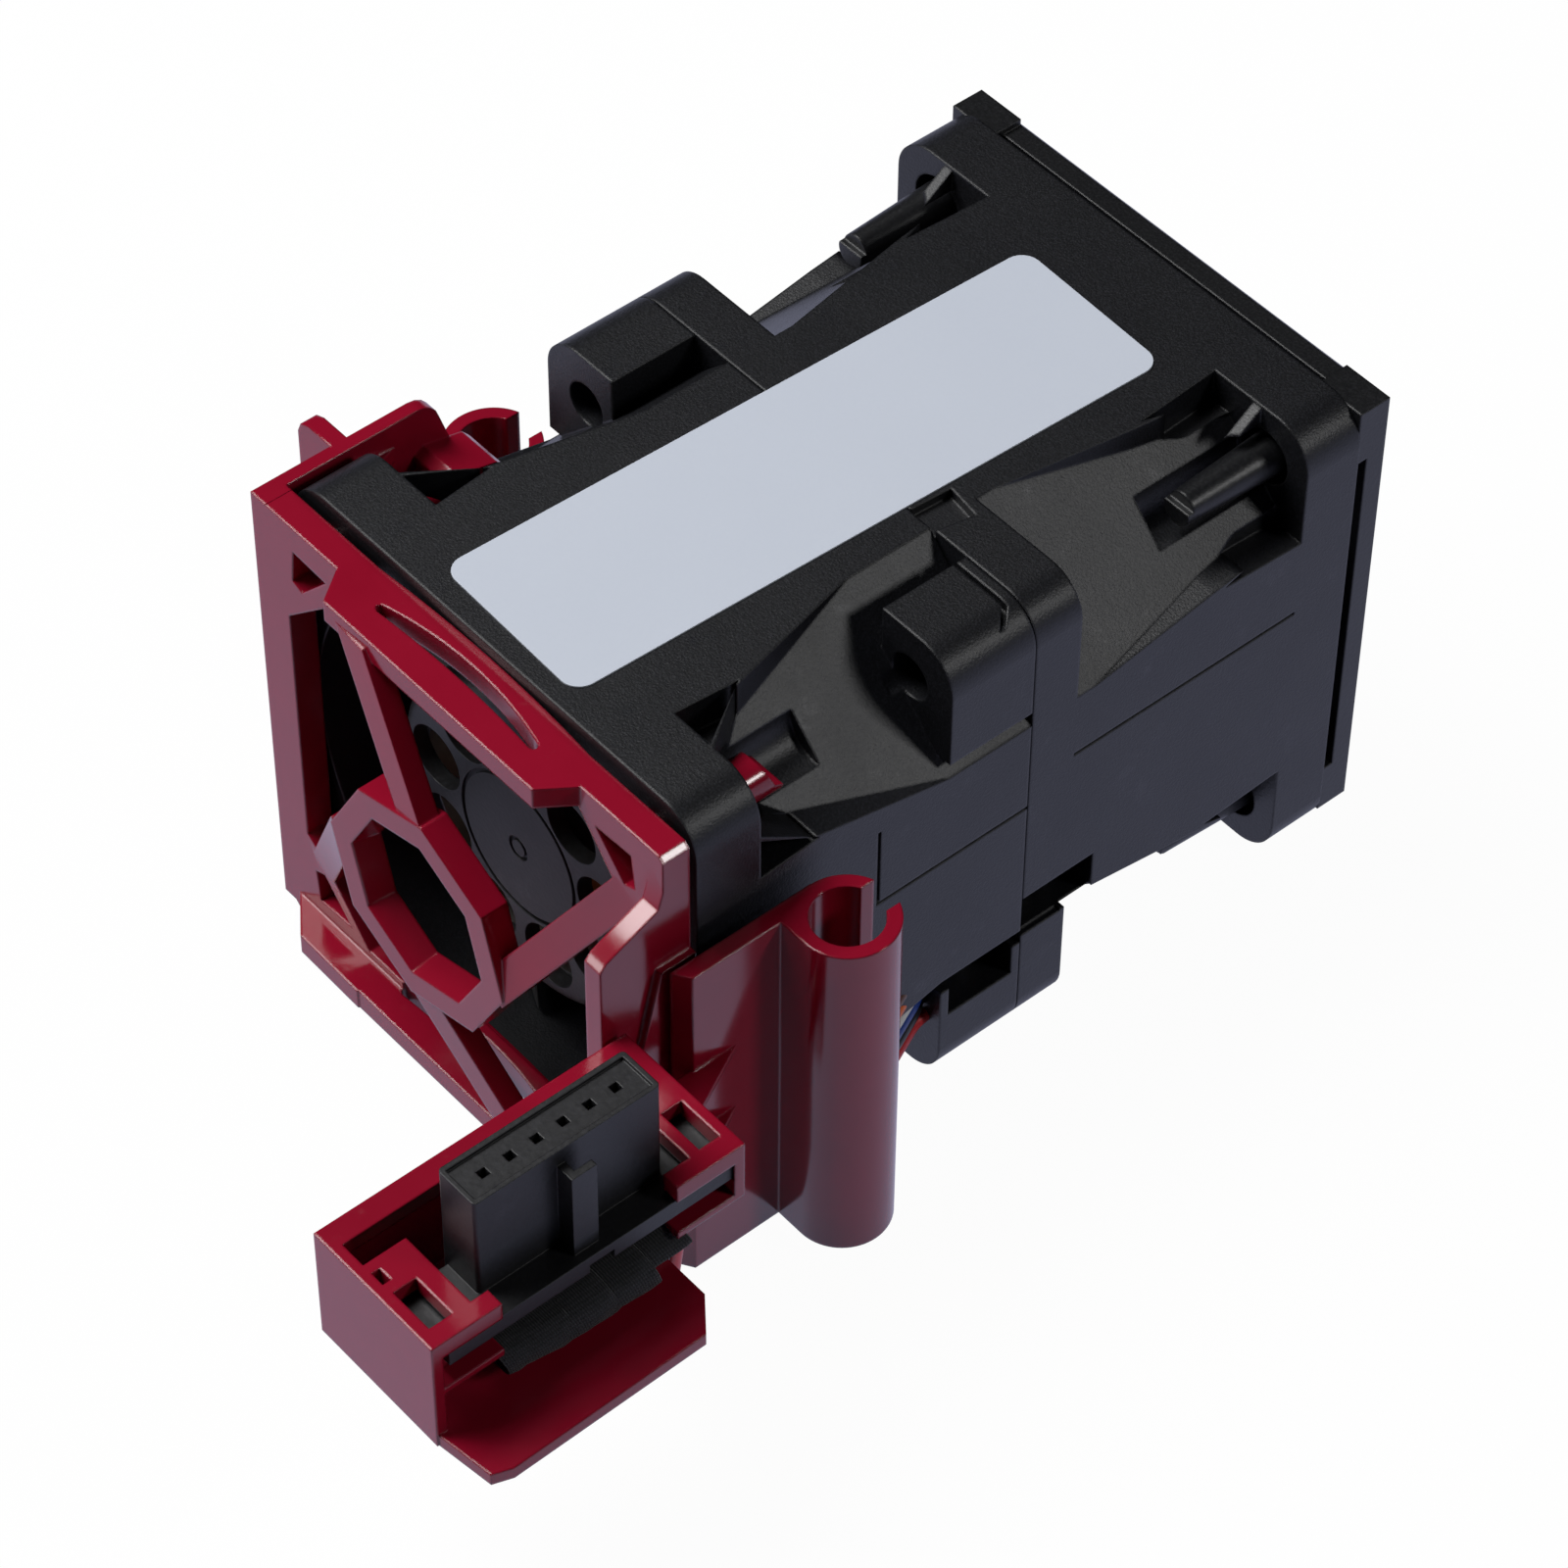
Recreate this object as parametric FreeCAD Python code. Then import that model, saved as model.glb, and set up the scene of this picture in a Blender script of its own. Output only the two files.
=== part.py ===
import FreeCAD, Part
import os
from math import atan2, cos, degrees, pi, radians, sin, sqrt, tan

V = FreeCAD.Vector
os.makedirs("parts", exist_ok=True)

# millimetres: X to the right, Y along the fan axis from the inlet to the outlet, Z up

# fan body
half = 20.0
length = 56.0
joint = 27.7
joint_gap = 0.05
flange_front = 5.1
flange_rear = 4.7
flange_corner = 3.2
bore_r = 19.0
mount_pitch = 32.0
mount_hole_r = 2.15
wall_diag = 21.1
recess_start = 15.6
recess_mid = 12.5
recess_mid_y = 9.4
recess_end = 9.9
lug_front_y = 20.7
lug_rear_y = 31.6
lug_x = 13.3
lug_z = 11.1
lug_corner = 3.0
lug_hole_r = 1.7
groove = 0.3
pocket_depth = 2.6
gusset = 0.8

# motor base inside each half
base_r = 12.2
base_floor = 1.0
base_depth = 6.0
base_wall = 1.2
strut_count = 6
strut_first = 15.0
strut_thick = 1.5
strut_lean = 25.0
lead_strut = 2
lead_strut_w = 2.4
lead_strut_depth = 4.9

# impellers
hub_r = 12.4
hub_face = 1.6
hub_floor = 1.2
hub_wall = 0.9
hub_end = 19.6
vent_count = 9
vent_ring = 8.6
vent_r = 2.45
disc_r = 5.9
blade_tip = 18.6
blade_root = 12.0
blade_thick = 0.9
blade_start = 3.0
blade_end = 18.0
front_blades = 7
rear_blades = 5

# motor
yoke_thick = 0.7
magnet_thick = 1.1
air_gap = 0.35
fit = 0.02
shaft_r = 1.5
shaft_start = 2.4
shaft_end = 25.4
bush_r = 3.0
bush_end = 6.2
tube_bore = 3.5
tube_wall = 0.9
tube_start = 6.6
second_bearing = 21.3
bearing_w = 2.5
bearing_step = 0.55
stator_start = 7.4
stator_end = 14.6
stator_ring = 1.4
pole_count = 6
pole_width = 1.7
shoe_thick = 0.7
shoe_arc = 46.0
lamination_inset = 0.7
coil_thick = 0.95
board_y = 21.9
board_thick = 0.8
board_r = 10.8
spring_wire = 0.25
clip_thick = 0.4
clip_groove = 0.3

# outlet plate
plate_gap = 1.0
plate_thick = 2.0
plate_half_x = 19.8
plate_low = -18.3
plate_high = 19.0
plate_block = 4.0
plate_proud = 0.5
plate_lip = 0.4
plate_foot = 1.1
pin_base_r = 1.75
pin_tip_r = 1.15
rear_pin_len = 7.8

# label
label_w = 13.8
label_l = 47.7
label_corner = 1.4
label_thick = 0.12
label_turn = 2.0
label_mid_x = 0.63
label_mid_y = 25.5

# carrier
frame_back = -0.5
frame_front = -2.6
frame_top = 19.0
frame_low = -19.7
bar_front = -5.0
bar_reach = 10.4
bar_slope = 1.8
bar_thick = 1.7
bar_back = -0.15
slot_half = 7.5
slot_front = -2.5
slot_bulge = 1.15
gusset_x = 11.6
gusset_z = 17.4
opening_x = 17.9
opening_z = 10.2
ring_front = -6.8
ring_back = -2.2
ring_turn = -7.0
ring_in = 6.75
ring_out = 8.9
spoke_w = 2.2
wall_gap = 0.15
wall_thick = 1.0
left_wall_end = 14.2
shelf_start = 9.6
shelf_gap = 0.15
shelf_thick = 1.1
fin_y = 3.8
fin_thick = 1.3
fin_reach = 24.7
front_pin_len = 3.9
post_thick = 1.4
post_reach = -8.3
post_top = 16.6
post_slope = 1.5
side_in = 21.1
side_out = 22.35
side_front = -3.2
side_end = 5.2
side_top = 10.0
side_low = -18.8
sleeve_r = 3.45
sleeve_bore = 2.45
right_sleeve_x = 24.6
right_sleeve_y = 8.2
left_sleeve_x = -23.75
left_sleeve_y = 18.7
left_sleeve_top = 8.0
sleeve_low = -18.3
sleeve_slot = 2.4

# connector box
box_in = 20.4
box_out = 31.75
box_far = -30.1
box_near = -6.1
box_top = 6.0
box_low = -3.5
box_wall = 1.1
tray_out = 36.5
tray_near = -11.1
tray_thick = 1.0
arm_reach = 5.3
arm_depth = 1.35

# connector
conn_x0 = 25.9
conn_x1 = 29.4
conn_y0 = -24.75
conn_y1 = -10.65
conn_top = 13.0
conn_low = 2.2
rail_x1 = 31.5
rail_z0 = 3.05
rail_z1 = 4.5
rail_over = 3.9
pin_count = 6
pin_pitch = 2.0
cavity = 1.3
mouth = 0.64
contact_thick = 0.2
crimp_z = 5.8

# leads
wire_r = 0.5
wire_step = 1.1
wire_x = half + 0.57
wire_top_z = -7.5
lead_clearance = 0.1
front_rows = [3, 4, 5]
rear_rows = [0, 1, 2]
lead_names = ["black", "brown", "orange", "white", "blue", "red"]
pad_first = 5.6
pad_step = 1.8
window_x = 17.4
entry_x = 27.1
entry_z = 0.75
turn_y = -4.6
lead_bends = [1.2, 2.0, 2.0, 2.0, 2.6, 2.2, 2.4]
tape_near = -8.8
tape_far = -24.6
tape_thick = 0.45


def same(shape):
    return shape


def box(x0, x1, y0, y1, z0, z1):
    return Part.makeBox(x1 - x0, y1 - y0, z1 - z0, V(x0, y0, z0))


def rod(r, y0, y1, x=0.0, z=0.0):
    return Part.makeCylinder(r, y1 - y0, V(x, y0, z), V(0, 1, 0))


def tube(r_out, r_in, y0, y1):
    return rod(r_out, y0, y1).cut(rod(r_in, y0 - 1, y1 + 1))


def upright(r, z0, z1, x, y):
    return Part.makeCylinder(r, z1 - z0, V(x, y, z0))


def face_of(points):
    return Part.Face(Part.makePolygon(points + points[:1]))


def along_y(xz, y0, y1):
    return face_of([V(x, y0, z) for x, z in xz]).extrude(V(0, y1 - y0, 0))


def along_z(xy, z0, z1):
    return face_of([V(x, y, z0) for x, y in xy]).extrude(V(0, 0, z1 - z0))


def along_x(yz, x0, x1):
    return face_of([V(x0, y, z) for y, z in yz]).extrude(V(x1 - x0, 0, 0))


def join(shapes):
    out = shapes[0].fuse(shapes[1:]) if len(shapes) > 1 else shapes[0]
    return out.removeSplitter()


def turned(shape, angle):
    out = shape.copy()
    out.rotate(V(0, 0, 0), V(0, 1, 0), angle)
    return out


def flipped(shape):
    return shape.mirror(V(0, joint, 0), V(0, 1, 0))


def corners(shape):
    out = []
    for sx in (0, 1):
        for sz in (0, 1):
            piece = shape.mirror(V(0, 0, 0), V(1, 0, 0)) if sx else shape.copy()
            out.append(piece.mirror(V(0, 0, 0), V(0, 0, 1)) if sz else piece)
    return out


def softened(shape, radius, picks):
    edges = [e for e in shape.Edges if picks(e)]
    return shape.makeFillet(radius, edges)


def edge_along(axis, test):
    def pick(edge):
        if not isinstance(edge.Curve, Part.Line):
            return False
        d = edge.Vertexes[0].Point - edge.Vertexes[1].Point
        return abs(abs(d.dot(axis)) - d.Length) < 1e-6 and test(edge.CenterOfMass)
    return pick


def slab(y0, y1, hx, z0, z1, corner):
    plate = box(-hx, hx, y0, y1, z0, z1)
    return softened(plate, corner, edge_along(V(0, 1, 0), lambda c: True))


def recess(stations):
    sections = []
    for y, e in stations:
        far = half + 2.0
        ring = [V(e, y, e), V(far, y, e), V(far, y, far), V(e, y, far)]
        sections.append(Part.makePolygon(ring + ring[:1]))
    hollow = Part.makeLoft(sections, True, True)
    y0 = stations[0][0] - 1
    y1 = stations[-1][0] + 1
    far = 2 * half
    s = wall_diag * sqrt(2)
    outside = along_y([(s, 0), (far, s - far), (far, far), (s - far, far), (0, s)], y0, y1)
    return hollow.common(outside)


def duct(y0, y1, corner_cut):
    body = box(-half, half, y0, y1, -half, half)
    return body.cut(corners(corner_cut))


def lug(y0, y1):
    block = box(lug_x, half, y0, y1, lug_z, half)
    outer = edge_along(V(0, 1, 0), lambda c: c.x > half - 0.1 and c.z > half - 0.1)
    return softened(block, lug_corner, outer)


def strut(y0, y1):
    reach = bore_r + 0.4
    lean = tan(radians(strut_lean)) * (y1 - y0)
    t = strut_thick / 2
    ring = [(-t, y0), (t, y0), (t + lean, y1), (lean - t, y1)]
    return along_z(ring, base_r - 1.0, reach)


def motor_base():
    y0 = joint - base_depth
    y1 = joint - joint_gap
    cup = rod(base_r, y0, y1)
    cup = cup.cut(rod(base_r - base_wall, y0 - 1, joint - base_floor))
    ribs = []
    for i in range(strut_count):
        rib = strut(y0, y1)
        if i == lead_strut:
            w = lead_strut_w / 2
            rib = box(-w, w, joint - lead_strut_depth, y1, base_r - 1.0, bore_r + 0.4)
        ribs.append(turned(rib, strut_first + 360.0 / strut_count * i))
    return [cup.cut(rod(tube_bore + tube_wall, y0, length))] + ribs


def lead_fairing(rows):
    z0, z1 = lead_z(rows[-1]) - 1.2, lead_z(rows[0]) + 0.9
    ring = [(-z1 - 0.9, z1), (sqrt(bore_r ** 2 - z1 ** 2) + 0.6, z1), (sqrt(bore_r ** 2 - z0 ** 2) + 0.6, z0), (-z0 - 0.9, z0)]
    return along_y(ring, joint - lead_strut_depth, joint - joint_gap)


def lead_channels(rows, place):
    return [place(swept(lead_route(i, False)[:4], wire_r + lead_clearance, lead_bends)[0]) for i in rows]


def triangle_pockets(y0, y1, near, far):
    top = along_z([(near, y0), (far, y0), (near + 0.4, y1)], half - pocket_depth, half + 1)
    side = along_x([(y0, near), (y0, far), (y1, near + 0.4)], half - pocket_depth, half + 1)
    return [top, side]


def pin_clearance(y0, y1):
    c = mount_pitch / 2
    return rod(mount_hole_r + 0.35, y0, y1, c, c)


def front_housing():
    cut = recess([(flange_front, recess_start), (recess_mid_y, recess_mid), (lug_front_y, recess_end)])
    cut = cut.fuse(recess([(lug_front_y - 0.01, recess_end), (joint + 1, recess_end)]))
    cut = cut.fuse(pin_clearance(flange_front, 13.0))
    body = duct(1.0, joint - joint_gap, cut)
    flange = slab(0.0, flange_front, half, -half, half, flange_corner)
    c = mount_pitch / 2
    flange = flange.cut(corners(rod(mount_hole_r, -1, flange_front + 1, c, c)))
    lugs = corners(lug(lug_front_y, joint - joint_gap))
    lugs = [piece.cut(rod(bore_r, 0, length)) for piece in lugs]
    shell = join([flange, body.cut(box(-half - 1, half + 1, 0, flange_front, -half - 1, half + 1))] + lugs)
    shell = shell.cut(corners(rod(lug_hole_r, lug_front_y - 1, length, c, c)))
    shell = shell.cut(rod(bore_r, -1, length))
    for pocket in triangle_pockets(flange_front, 9.9, 11.8, 15.2):
        shell = shell.cut(corners(pocket))
    shell = shell.cut(front_grooves())
    shell = join([shell, lead_fairing(front_rows)] + motor_base())
    return shell.cut(lead_channels(front_rows, same)).cut(lead_window(front_rows, joint - 0.7))


def front_grooves():
    top = half - 0.8
    slot = box(lug_x - groove, lug_x, 19.0, 26.9, top, half + 1)
    hook = along_z([(lug_x - groove, 26.6), (17.8, 26.6), (19.0, 25.4), (19.3, 25.6),
                    (18.0, 26.9), (lug_x - groove, 26.9)], top, half + 1)
    seam = box(half - 0.25, half + 1, 14.9, joint, 2.1, 2.35)
    step = box(half - 0.25, half + 1, 14.75, 15.0, 2.1, half)
    return [slot, hook, seam, step.common(box(0, 30, 0, 30, 2.1, 9.0))]


def lead_window(rows, end):
    z1 = lead_z(rows[0]) + wire_r + 0.2
    z0 = lead_z(rows[-1]) - wire_r - 0.2
    return box(window_x, half + 1, lug_front_y + 0.7, end, z0, z1)


def rear_housing():
    cut = recess([(lug_rear_y, 9.6), (43.5, 11.6), (length - flange_rear, 12.6)])
    cut = cut.fuse(pin_clearance(42.0, length - flange_rear))
    body = duct(joint + joint_gap, length - 1.0, cut)
    body = body.cut(box(-half - 1, half + 1, length - flange_rear, length, -half - 1, half + 1))
    flange = slab(length - flange_rear, length, half, -half, half, flange_corner)
    c = mount_pitch / 2
    flange = flange.cut(corners(rod(mount_hole_r, 0, length + 1, c, c)))
    shell = join([flange, body])
    trim = corners(softened_corner(joint, lug_rear_y))
    shell = shell.cut(trim)
    shell = shell.cut(corners(rod(lug_hole_r, joint - 1, lug_rear_y + 1, c, c)))
    shell = shell.cut(rod(bore_r, 0, length + 1))
    for pocket in triangle_pockets(length - flange_rear, 44.4, 11.0, 13.6):
        shell = shell.cut(corners(pocket))
    shell = shell.cut(rear_grooves())
    base = [flipped(piece) for piece in motor_base() + [lead_fairing(rear_rows)]]
    shell = join([shell] + base + corners(rear_gusset()))
    window = flipped(lead_window(rear_rows, joint + 1))
    return shell.cut(lead_channels(rear_rows, flipped)).cut(window)


def softened_corner(y0, y1):
    c = half - lug_corner
    block = box(c, half + 1, y0 - 1, y1, c, half + 1)
    return block.cut(rod(lug_corner, y0 - 2, y1 + 1, c, c))


def rear_gusset():
    y1 = length - flange_rear
    top = along_x([(45.4, 15.6), (y1, half - 0.2), (y1, 14.0), (45.4, 14.0)], 14.6, 14.6 + gusset)
    return top.cut(rod(bore_r, 0, length)).cut(pin_clearance(42.0, y1 + 1))


def rear_grooves():
    seam = box(half - 0.25, half + 1, lug_rear_y, length - flange_rear, 4.35, 4.6)
    notch = along_z([(7.8, joint - 1), (10.1, joint - 1), (10.9, 30.6), (8.1, 31.0)], half - 0.7, half + 1)
    lower = box(half - 0.5, half + 1, joint, lug_rear_y - 0.4, -10.5, -9.3)
    return [seam, notch, lower]


def blade_section(r, pitch, y0, y1, bow_side, thick):
    mid = (y0 + y1) / 2
    run = (y1 - y0) / 2
    swing = run / tan(radians(pitch))
    camber = 0.16 * (y1 - y0)
    pts = []
    for k in (-1.0, 0.0, 1.0):
        bow = camber * (1 - k * k)
        pts.append((k * swing + bow_side * bow, mid + k * run - 0.3 * bow))
    upper = [V(t + thick * 0.5 * w, y, r) for (t, y), w in zip(pts, (0.45, 1.0, 0.35))]
    lower = [V(t - thick * 0.5 * w, y, r) for (t, y), w in zip(pts, (0.45, 1.0, 0.35))]
    edges = [Part.Arc(*upper).toShape(), Part.LineSegment(upper[2], lower[2]).toShape()]
    edges.append(Part.Arc(lower[2], lower[1], lower[0]).toShape())
    edges.append(Part.LineSegment(lower[0], upper[0]).toShape())
    return Part.Wire(edges)


def blade(y0, y1, bow_side):
    sections = []
    for share in (0.0, 0.5, 1.0):
        r = blade_root + share * (blade_tip + 0.8 - blade_root)
        pitch = 56.0 - 16.0 * share
        grow = 1.0 - 0.35 * share
        sections.append(blade_section(r, pitch, y0 + share * 0.8, y1 - share * 0.6, bow_side, blade_thick * grow))
    return Part.makeLoft(sections, True, False)


def impeller(count, bow_side):
    solid = rod(hub_r, hub_face, hub_end)
    rim = [e for e in solid.Edges if abs(e.CenterOfMass.y - hub_face) < 1e-6 and e.Length > 10]
    solid = solid.makeFillet(1.1, rim)
    solid = solid.cut(rod(hub_r - hub_wall, hub_face + hub_floor, hub_end + 1))
    vents = [rod(vent_r, 0, hub_face + hub_floor + 1, vent_ring, 0) for _ in range(vent_count)]
    vents = [turned(v, -9.0 - 360.0 / vent_count * i) for i, v in enumerate(vents)]
    solid = solid.cut(vents)
    solid = solid.cut(tube(disc_r, disc_r - 0.35, 0, hub_face + 0.3))
    solid = solid.cut(tube(0.95, 0.65, 0, hub_face + 0.2))
    boss = rod(bush_r + 1.0, hub_face + hub_floor / 2, bush_end - 0.4)
    solid = solid.fuse(boss).cut(rod(bush_r, shaft_start, bush_end + 1))
    fan = [turned(blade(blade_start, blade_end, bow_side), 360.0 / count * i) for i in range(count)]
    ring = tube(blade_tip, blade_root - 0.3, blade_start - 2, blade_end + 2)
    fan = [b.common(ring) for b in fan]
    return join([solid] + fan)


def rotor_yoke():
    r = hub_r - hub_wall
    return tube(r, r - yoke_thick, hub_face + hub_floor, hub_end - 0.2)


def magnet_ring():
    r = hub_r - hub_wall - yoke_thick
    return tube(r, r - magnet_thick, stator_start - 1.0, hub_end - 1.4)


def bush():
    return tube(bush_r, shaft_r, shaft_start, bush_end)


def shaft():
    body = rod(shaft_r, shaft_start, shaft_end)
    ends = [e for e in body.Edges if isinstance(e.Curve, Part.Circle)]
    body = body.makeChamfer(0.2, ends)
    ring = tube(shaft_r + 1, shaft_r - clip_groove, clip_y() - 0.02, clip_y() + clip_thick + 0.02)
    return body.cut(ring)


def clip_y():
    return second_bearing + bearing_w + 0.5


def shaft_clip():
    ring = tube(shaft_r + 0.9, shaft_r - clip_groove + fit, clip_y(), clip_y() + clip_thick)
    return ring.cut(box(-0.6, 0.6, 0, length, 0, 5))


def bearing_places():
    return [tube_start + 0.5, second_bearing]


def bearing_outers():
    rings = []
    for y in bearing_places():
        ring = tube(tube_bore, tube_bore - bearing_step, y, y + bearing_w)
        for side in (y + 0.1, y + bearing_w - 0.3):
            ring = ring.fuse(tube(tube_bore - bearing_step + 0.1, shaft_r + bearing_step + 0.12, side, side + 0.2))
        rings.append(ring.removeSplitter())
    return Part.Compound(rings)


def bearing_inners():
    rings = [tube(shaft_r + bearing_step, shaft_r, y, y + bearing_w) for y in bearing_places()]
    return Part.Compound(rings)


def preload_spring():
    y0 = bearing_places()[0] + bearing_w
    y1 = bearing_places()[1]
    turns = 4.0
    rise = y1 - y0 - 2 * spring_wire
    mean = tube_bore - spring_wire - 0.15
    helix = Part.makeHelix(rise / turns, rise, mean)
    helix.rotate(V(0, 0, 0), V(1, 0, 0), -90)
    helix.translate(V(0, y0 + spring_wire, 0))
    start = helix.Edges[0].valueAt(helix.Edges[0].FirstParameter)
    lead = helix.Edges[0].tangentAt(helix.Edges[0].FirstParameter)
    ring = Part.Wire(Part.makeCircle(spring_wire, start, lead))
    return Part.Wire(helix.Edges).makePipeShell([ring], True, True)


def bearing_tube():
    return tube(tube_bore + tube_wall, tube_bore, tube_start, joint - joint_gap)


def pole_shape(y0, y1, grow, shoe):
    inner = tube_bore + tube_wall
    face_r = hub_r - hub_wall - yoke_thick - magnet_thick - air_gap
    w = pole_width / 2 + grow
    leg = box(-w, w, y0, y1, inner + stator_ring - 0.3, face_r - shoe_thick + 0.1)
    if not shoe:
        return leg
    arc = tube(face_r, face_r - shoe_thick, y0, y1)
    wedge_x = face_r * 1.2 * tan(radians(shoe_arc / 2))
    wedge = along_y([(0, 0), (wedge_x, face_r * 1.2), (-wedge_x, face_r * 1.2)], y0 - 1, y1 + 1)
    return leg.fuse(arc.common(wedge))


def stator_core():
    inner = tube_bore + tube_wall
    y0 = stator_start + lamination_inset
    y1 = stator_end - lamination_inset
    hub = tube(inner + stator_ring, inner, y0, y1)
    poles = [turned(pole_shape(y0, y1, 0, True), 60.0 * i) for i in range(pole_count)]
    return join([hub] + poles)


def stator_insulator():
    inner = tube_bore + tube_wall
    out = []
    for y0, y1 in ((stator_start, stator_start + lamination_inset), (stator_end - lamination_inset, stator_end)):
        hub = tube(inner + stator_ring, inner, y0, y1)
        poles = [turned(pole_shape(y0, y1, 0, True), 60.0 * i) for i in range(pole_count)]
        out.append(join([hub] + poles))
    return Part.Compound(out)


def coils():
    face_r = hub_r - hub_wall - yoke_thick - magnet_thick - air_gap
    r0 = tube_bore + tube_wall + stator_ring + 0.5
    r1 = face_r - shoe_thick - 0.25
    out = []
    for i in range(pole_count):
        w = pole_width / 2
        slim = min(coil_thick, r0 * sin(radians(30)) - w - 0.05)
        big = box(-w - slim, w + slim, stator_start - coil_thick, stator_end + coil_thick, r0, r1)
        big = softened(big, 0.45, edge_along(V(0, 0, 1), lambda c: True))
        hole = box(-w, w, stator_start, stator_end, r0 - 1, r1 + 1)
        out.append(turned(big.cut(hole), 60.0 * i))
    return Part.Compound(out)


def circuit_board():
    return tube(board_r, tube_bore + tube_wall, board_y, board_y + board_thick)


def outlet_plate():
    y0 = length + plate_gap
    y1 = y0 + plate_thick
    body = slab(y0, y1, plate_half_x, plate_low, plate_high, 0.5)
    rim = [e for e in body.Edges if abs(e.CenterOfMass.y - y1) < 1e-6 and e.Length > 5]
    body = body.makeChamfer(0.4, rim)
    blocks = []
    for sx in (-1, 1):
        for z0, z1 in ((plate_low, plate_low + plate_block), (plate_high - plate_block, plate_high + plate_proud)):
            x0, x1 = sorted((sx * (plate_half_x - plate_block), sx * plate_half_x))
            blocks.append(box(x0, x1, length, y1 - 0.4, z0, z1))
    c = mount_pitch / 2
    pin = Part.makeCone(pin_base_r, pin_tip_r, rear_pin_len + flange_rear, V(c, length, c), V(0, -1, 0))
    pin = pin.cut(box(c - 3, c + 3, 0, length - flange_rear - rear_pin_len + 0.5, c + 0.3, c + 3))
    body = join([body] + blocks + corners(pin))
    mouth = rod(bore_r - plate_lip, length - 1, y1 + 1)
    return body.cut(mouth.common(box(-half, half, 0, y1 + 2, plate_low + plate_foot, half)))


def label():
    sheet = box(-label_w / 2, label_w / 2, -label_l / 2, label_l / 2, half, half + label_thick)
    sheet = softened(sheet, label_corner, edge_along(V(0, 0, 1), lambda c: True))
    sheet.rotate(V(0, 0, 0), V(0, 0, 1), -label_turn)
    sheet.translate(V(label_mid_x, label_mid_y, 0))
    return sheet


def octagon(r, y):
    return [V(r * cos(radians(ring_turn + 45 * i)), y, r * sin(radians(ring_turn + 45 * i))) for i in range(8)]


def guard_ring():
    outer = face_of(octagon(ring_out, ring_front)).extrude(V(0, ring_back - ring_front, 0))
    front = Part.makePolygon(octagon(ring_in, ring_front - 0.01) + octagon(ring_in, ring_front - 0.01)[:1])
    back = Part.makePolygon(octagon(ring_in - 0.5, ring_back + 0.01) + octagon(ring_in - 0.5, ring_back + 0.01)[:1])
    return outer.cut(Part.makeLoft([front, back], True, True))


def spoke(start, end, y_start, y_end):
    d = V(end[0] - start[0], 0, end[1] - start[1])
    run = d.Length
    yz = [(y_start, 0), (y_end, run), (frame_front + 0.4, run), (frame_front + 0.4, 0)]
    bar = along_x(yz, -spoke_w / 2, spoke_w / 2)
    bar.rotate(V(0, 0, 0), V(0, 1, 0), degrees(atan2(d.x, d.z)))
    bar.translate(V(start[0], 0, start[1]))
    return bar


def opening():
    ring = [(-gusset_x, gusset_z), (-13.8, 14.1), (-opening_x, opening_z), (-opening_x, -10.8),
            (-16.1, -12.1), (-gusset_x, -gusset_z), (gusset_x, -gusset_z), (16.4, -11.5),
            (opening_x, -opening_z), (opening_x, opening_z), (16.4, 11.5), (gusset_x, gusset_z)]
    return along_y(ring, frame_front - 1, frame_back + 1)


def bar(top):
    z1 = frame_top if top else frame_low + bar_thick
    z0 = z1 - bar_thick
    front = [(-bar_reach - bar_slope, frame_front + 0.1), (-bar_reach, bar_front), (bar_reach, bar_front),
             (bar_reach + bar_slope, frame_front + 0.1)]
    rear = [(bar_reach + bar_slope, frame_back), (bar_reach, frame_back)]
    body = along_z(front + rear + [(-bar_reach, frame_back), (-bar_reach - bar_slope, frame_back)], z0, z1)
    curve = Part.Arc(V(-bar_reach, frame_back - 0.2, z0), V(0, bar_back + 0.12, z0), V(bar_reach, frame_back - 0.2, z0)).toShape()
    ends = [V(bar_reach, frame_back - 1, z0), V(-bar_reach, frame_back - 1, z0)]
    legs = [Part.LineSegment(V(bar_reach, frame_back - 0.2, z0), ends[0]).toShape(),
            Part.LineSegment(ends[0], ends[1]).toShape(),
            Part.LineSegment(ends[1], V(-bar_reach, frame_back - 0.2, z0)).toShape()]
    bulge = Part.Face(Part.Wire([curve] + legs)).extrude(V(0, 0, bar_thick))
    return join([body, bulge]).cut(crescent(z0 - 1, z1 + 1))


def crescent(z0, z1):
    a = V(-slot_half, slot_front, z0)
    b = V(slot_half, slot_front, z0)
    top = Part.Arc(a, V(0, slot_front + slot_bulge, z0), b).toShape()
    flat = Part.LineSegment(b, a).toShape()
    return Part.Face(Part.Wire([top, flat])).extrude(V(0, 0, z1 - z0))


def corner_pocket():
    ring = [(13.5, 16.6), (16.9, 16.8), (17.2, 14.0), (16.2, 13.6)]
    return along_y(ring, frame_front - 1, frame_back - 0.6)


def guard():
    rect = slab(frame_front, frame_back, half - 0.1, frame_low, frame_top, 0.6)
    plate = rect.cut(opening())
    pockets = corners(corner_pocket())
    plate = plate.cut(pockets)
    tip = ring_out - 0.5
    a0 = radians(ring_turn + 90)
    up = (tip * cos(a0), tip * sin(a0))
    left = (-8.2, gusset_z + 0.2)
    side = (tip * cos(radians(ring_turn)), tip * sin(radians(ring_turn)) + 1.0)
    right = (16.3, 12.9)
    spokes = [spoke(up, left, ring_front, bar_front), spoke(side, right, ring_front, frame_front)]
    spokes += [turned(s, 180) for s in spokes]
    ring_hole = face_of(octagon(ring_in - 0.2, -20)).extrude(V(0, 40, 0))
    spokes = [s.cut(ring_hole) for s in spokes]
    return join([plate, bar(True), bar(False), guard_ring()] + spokes + [low_nub()])


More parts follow.
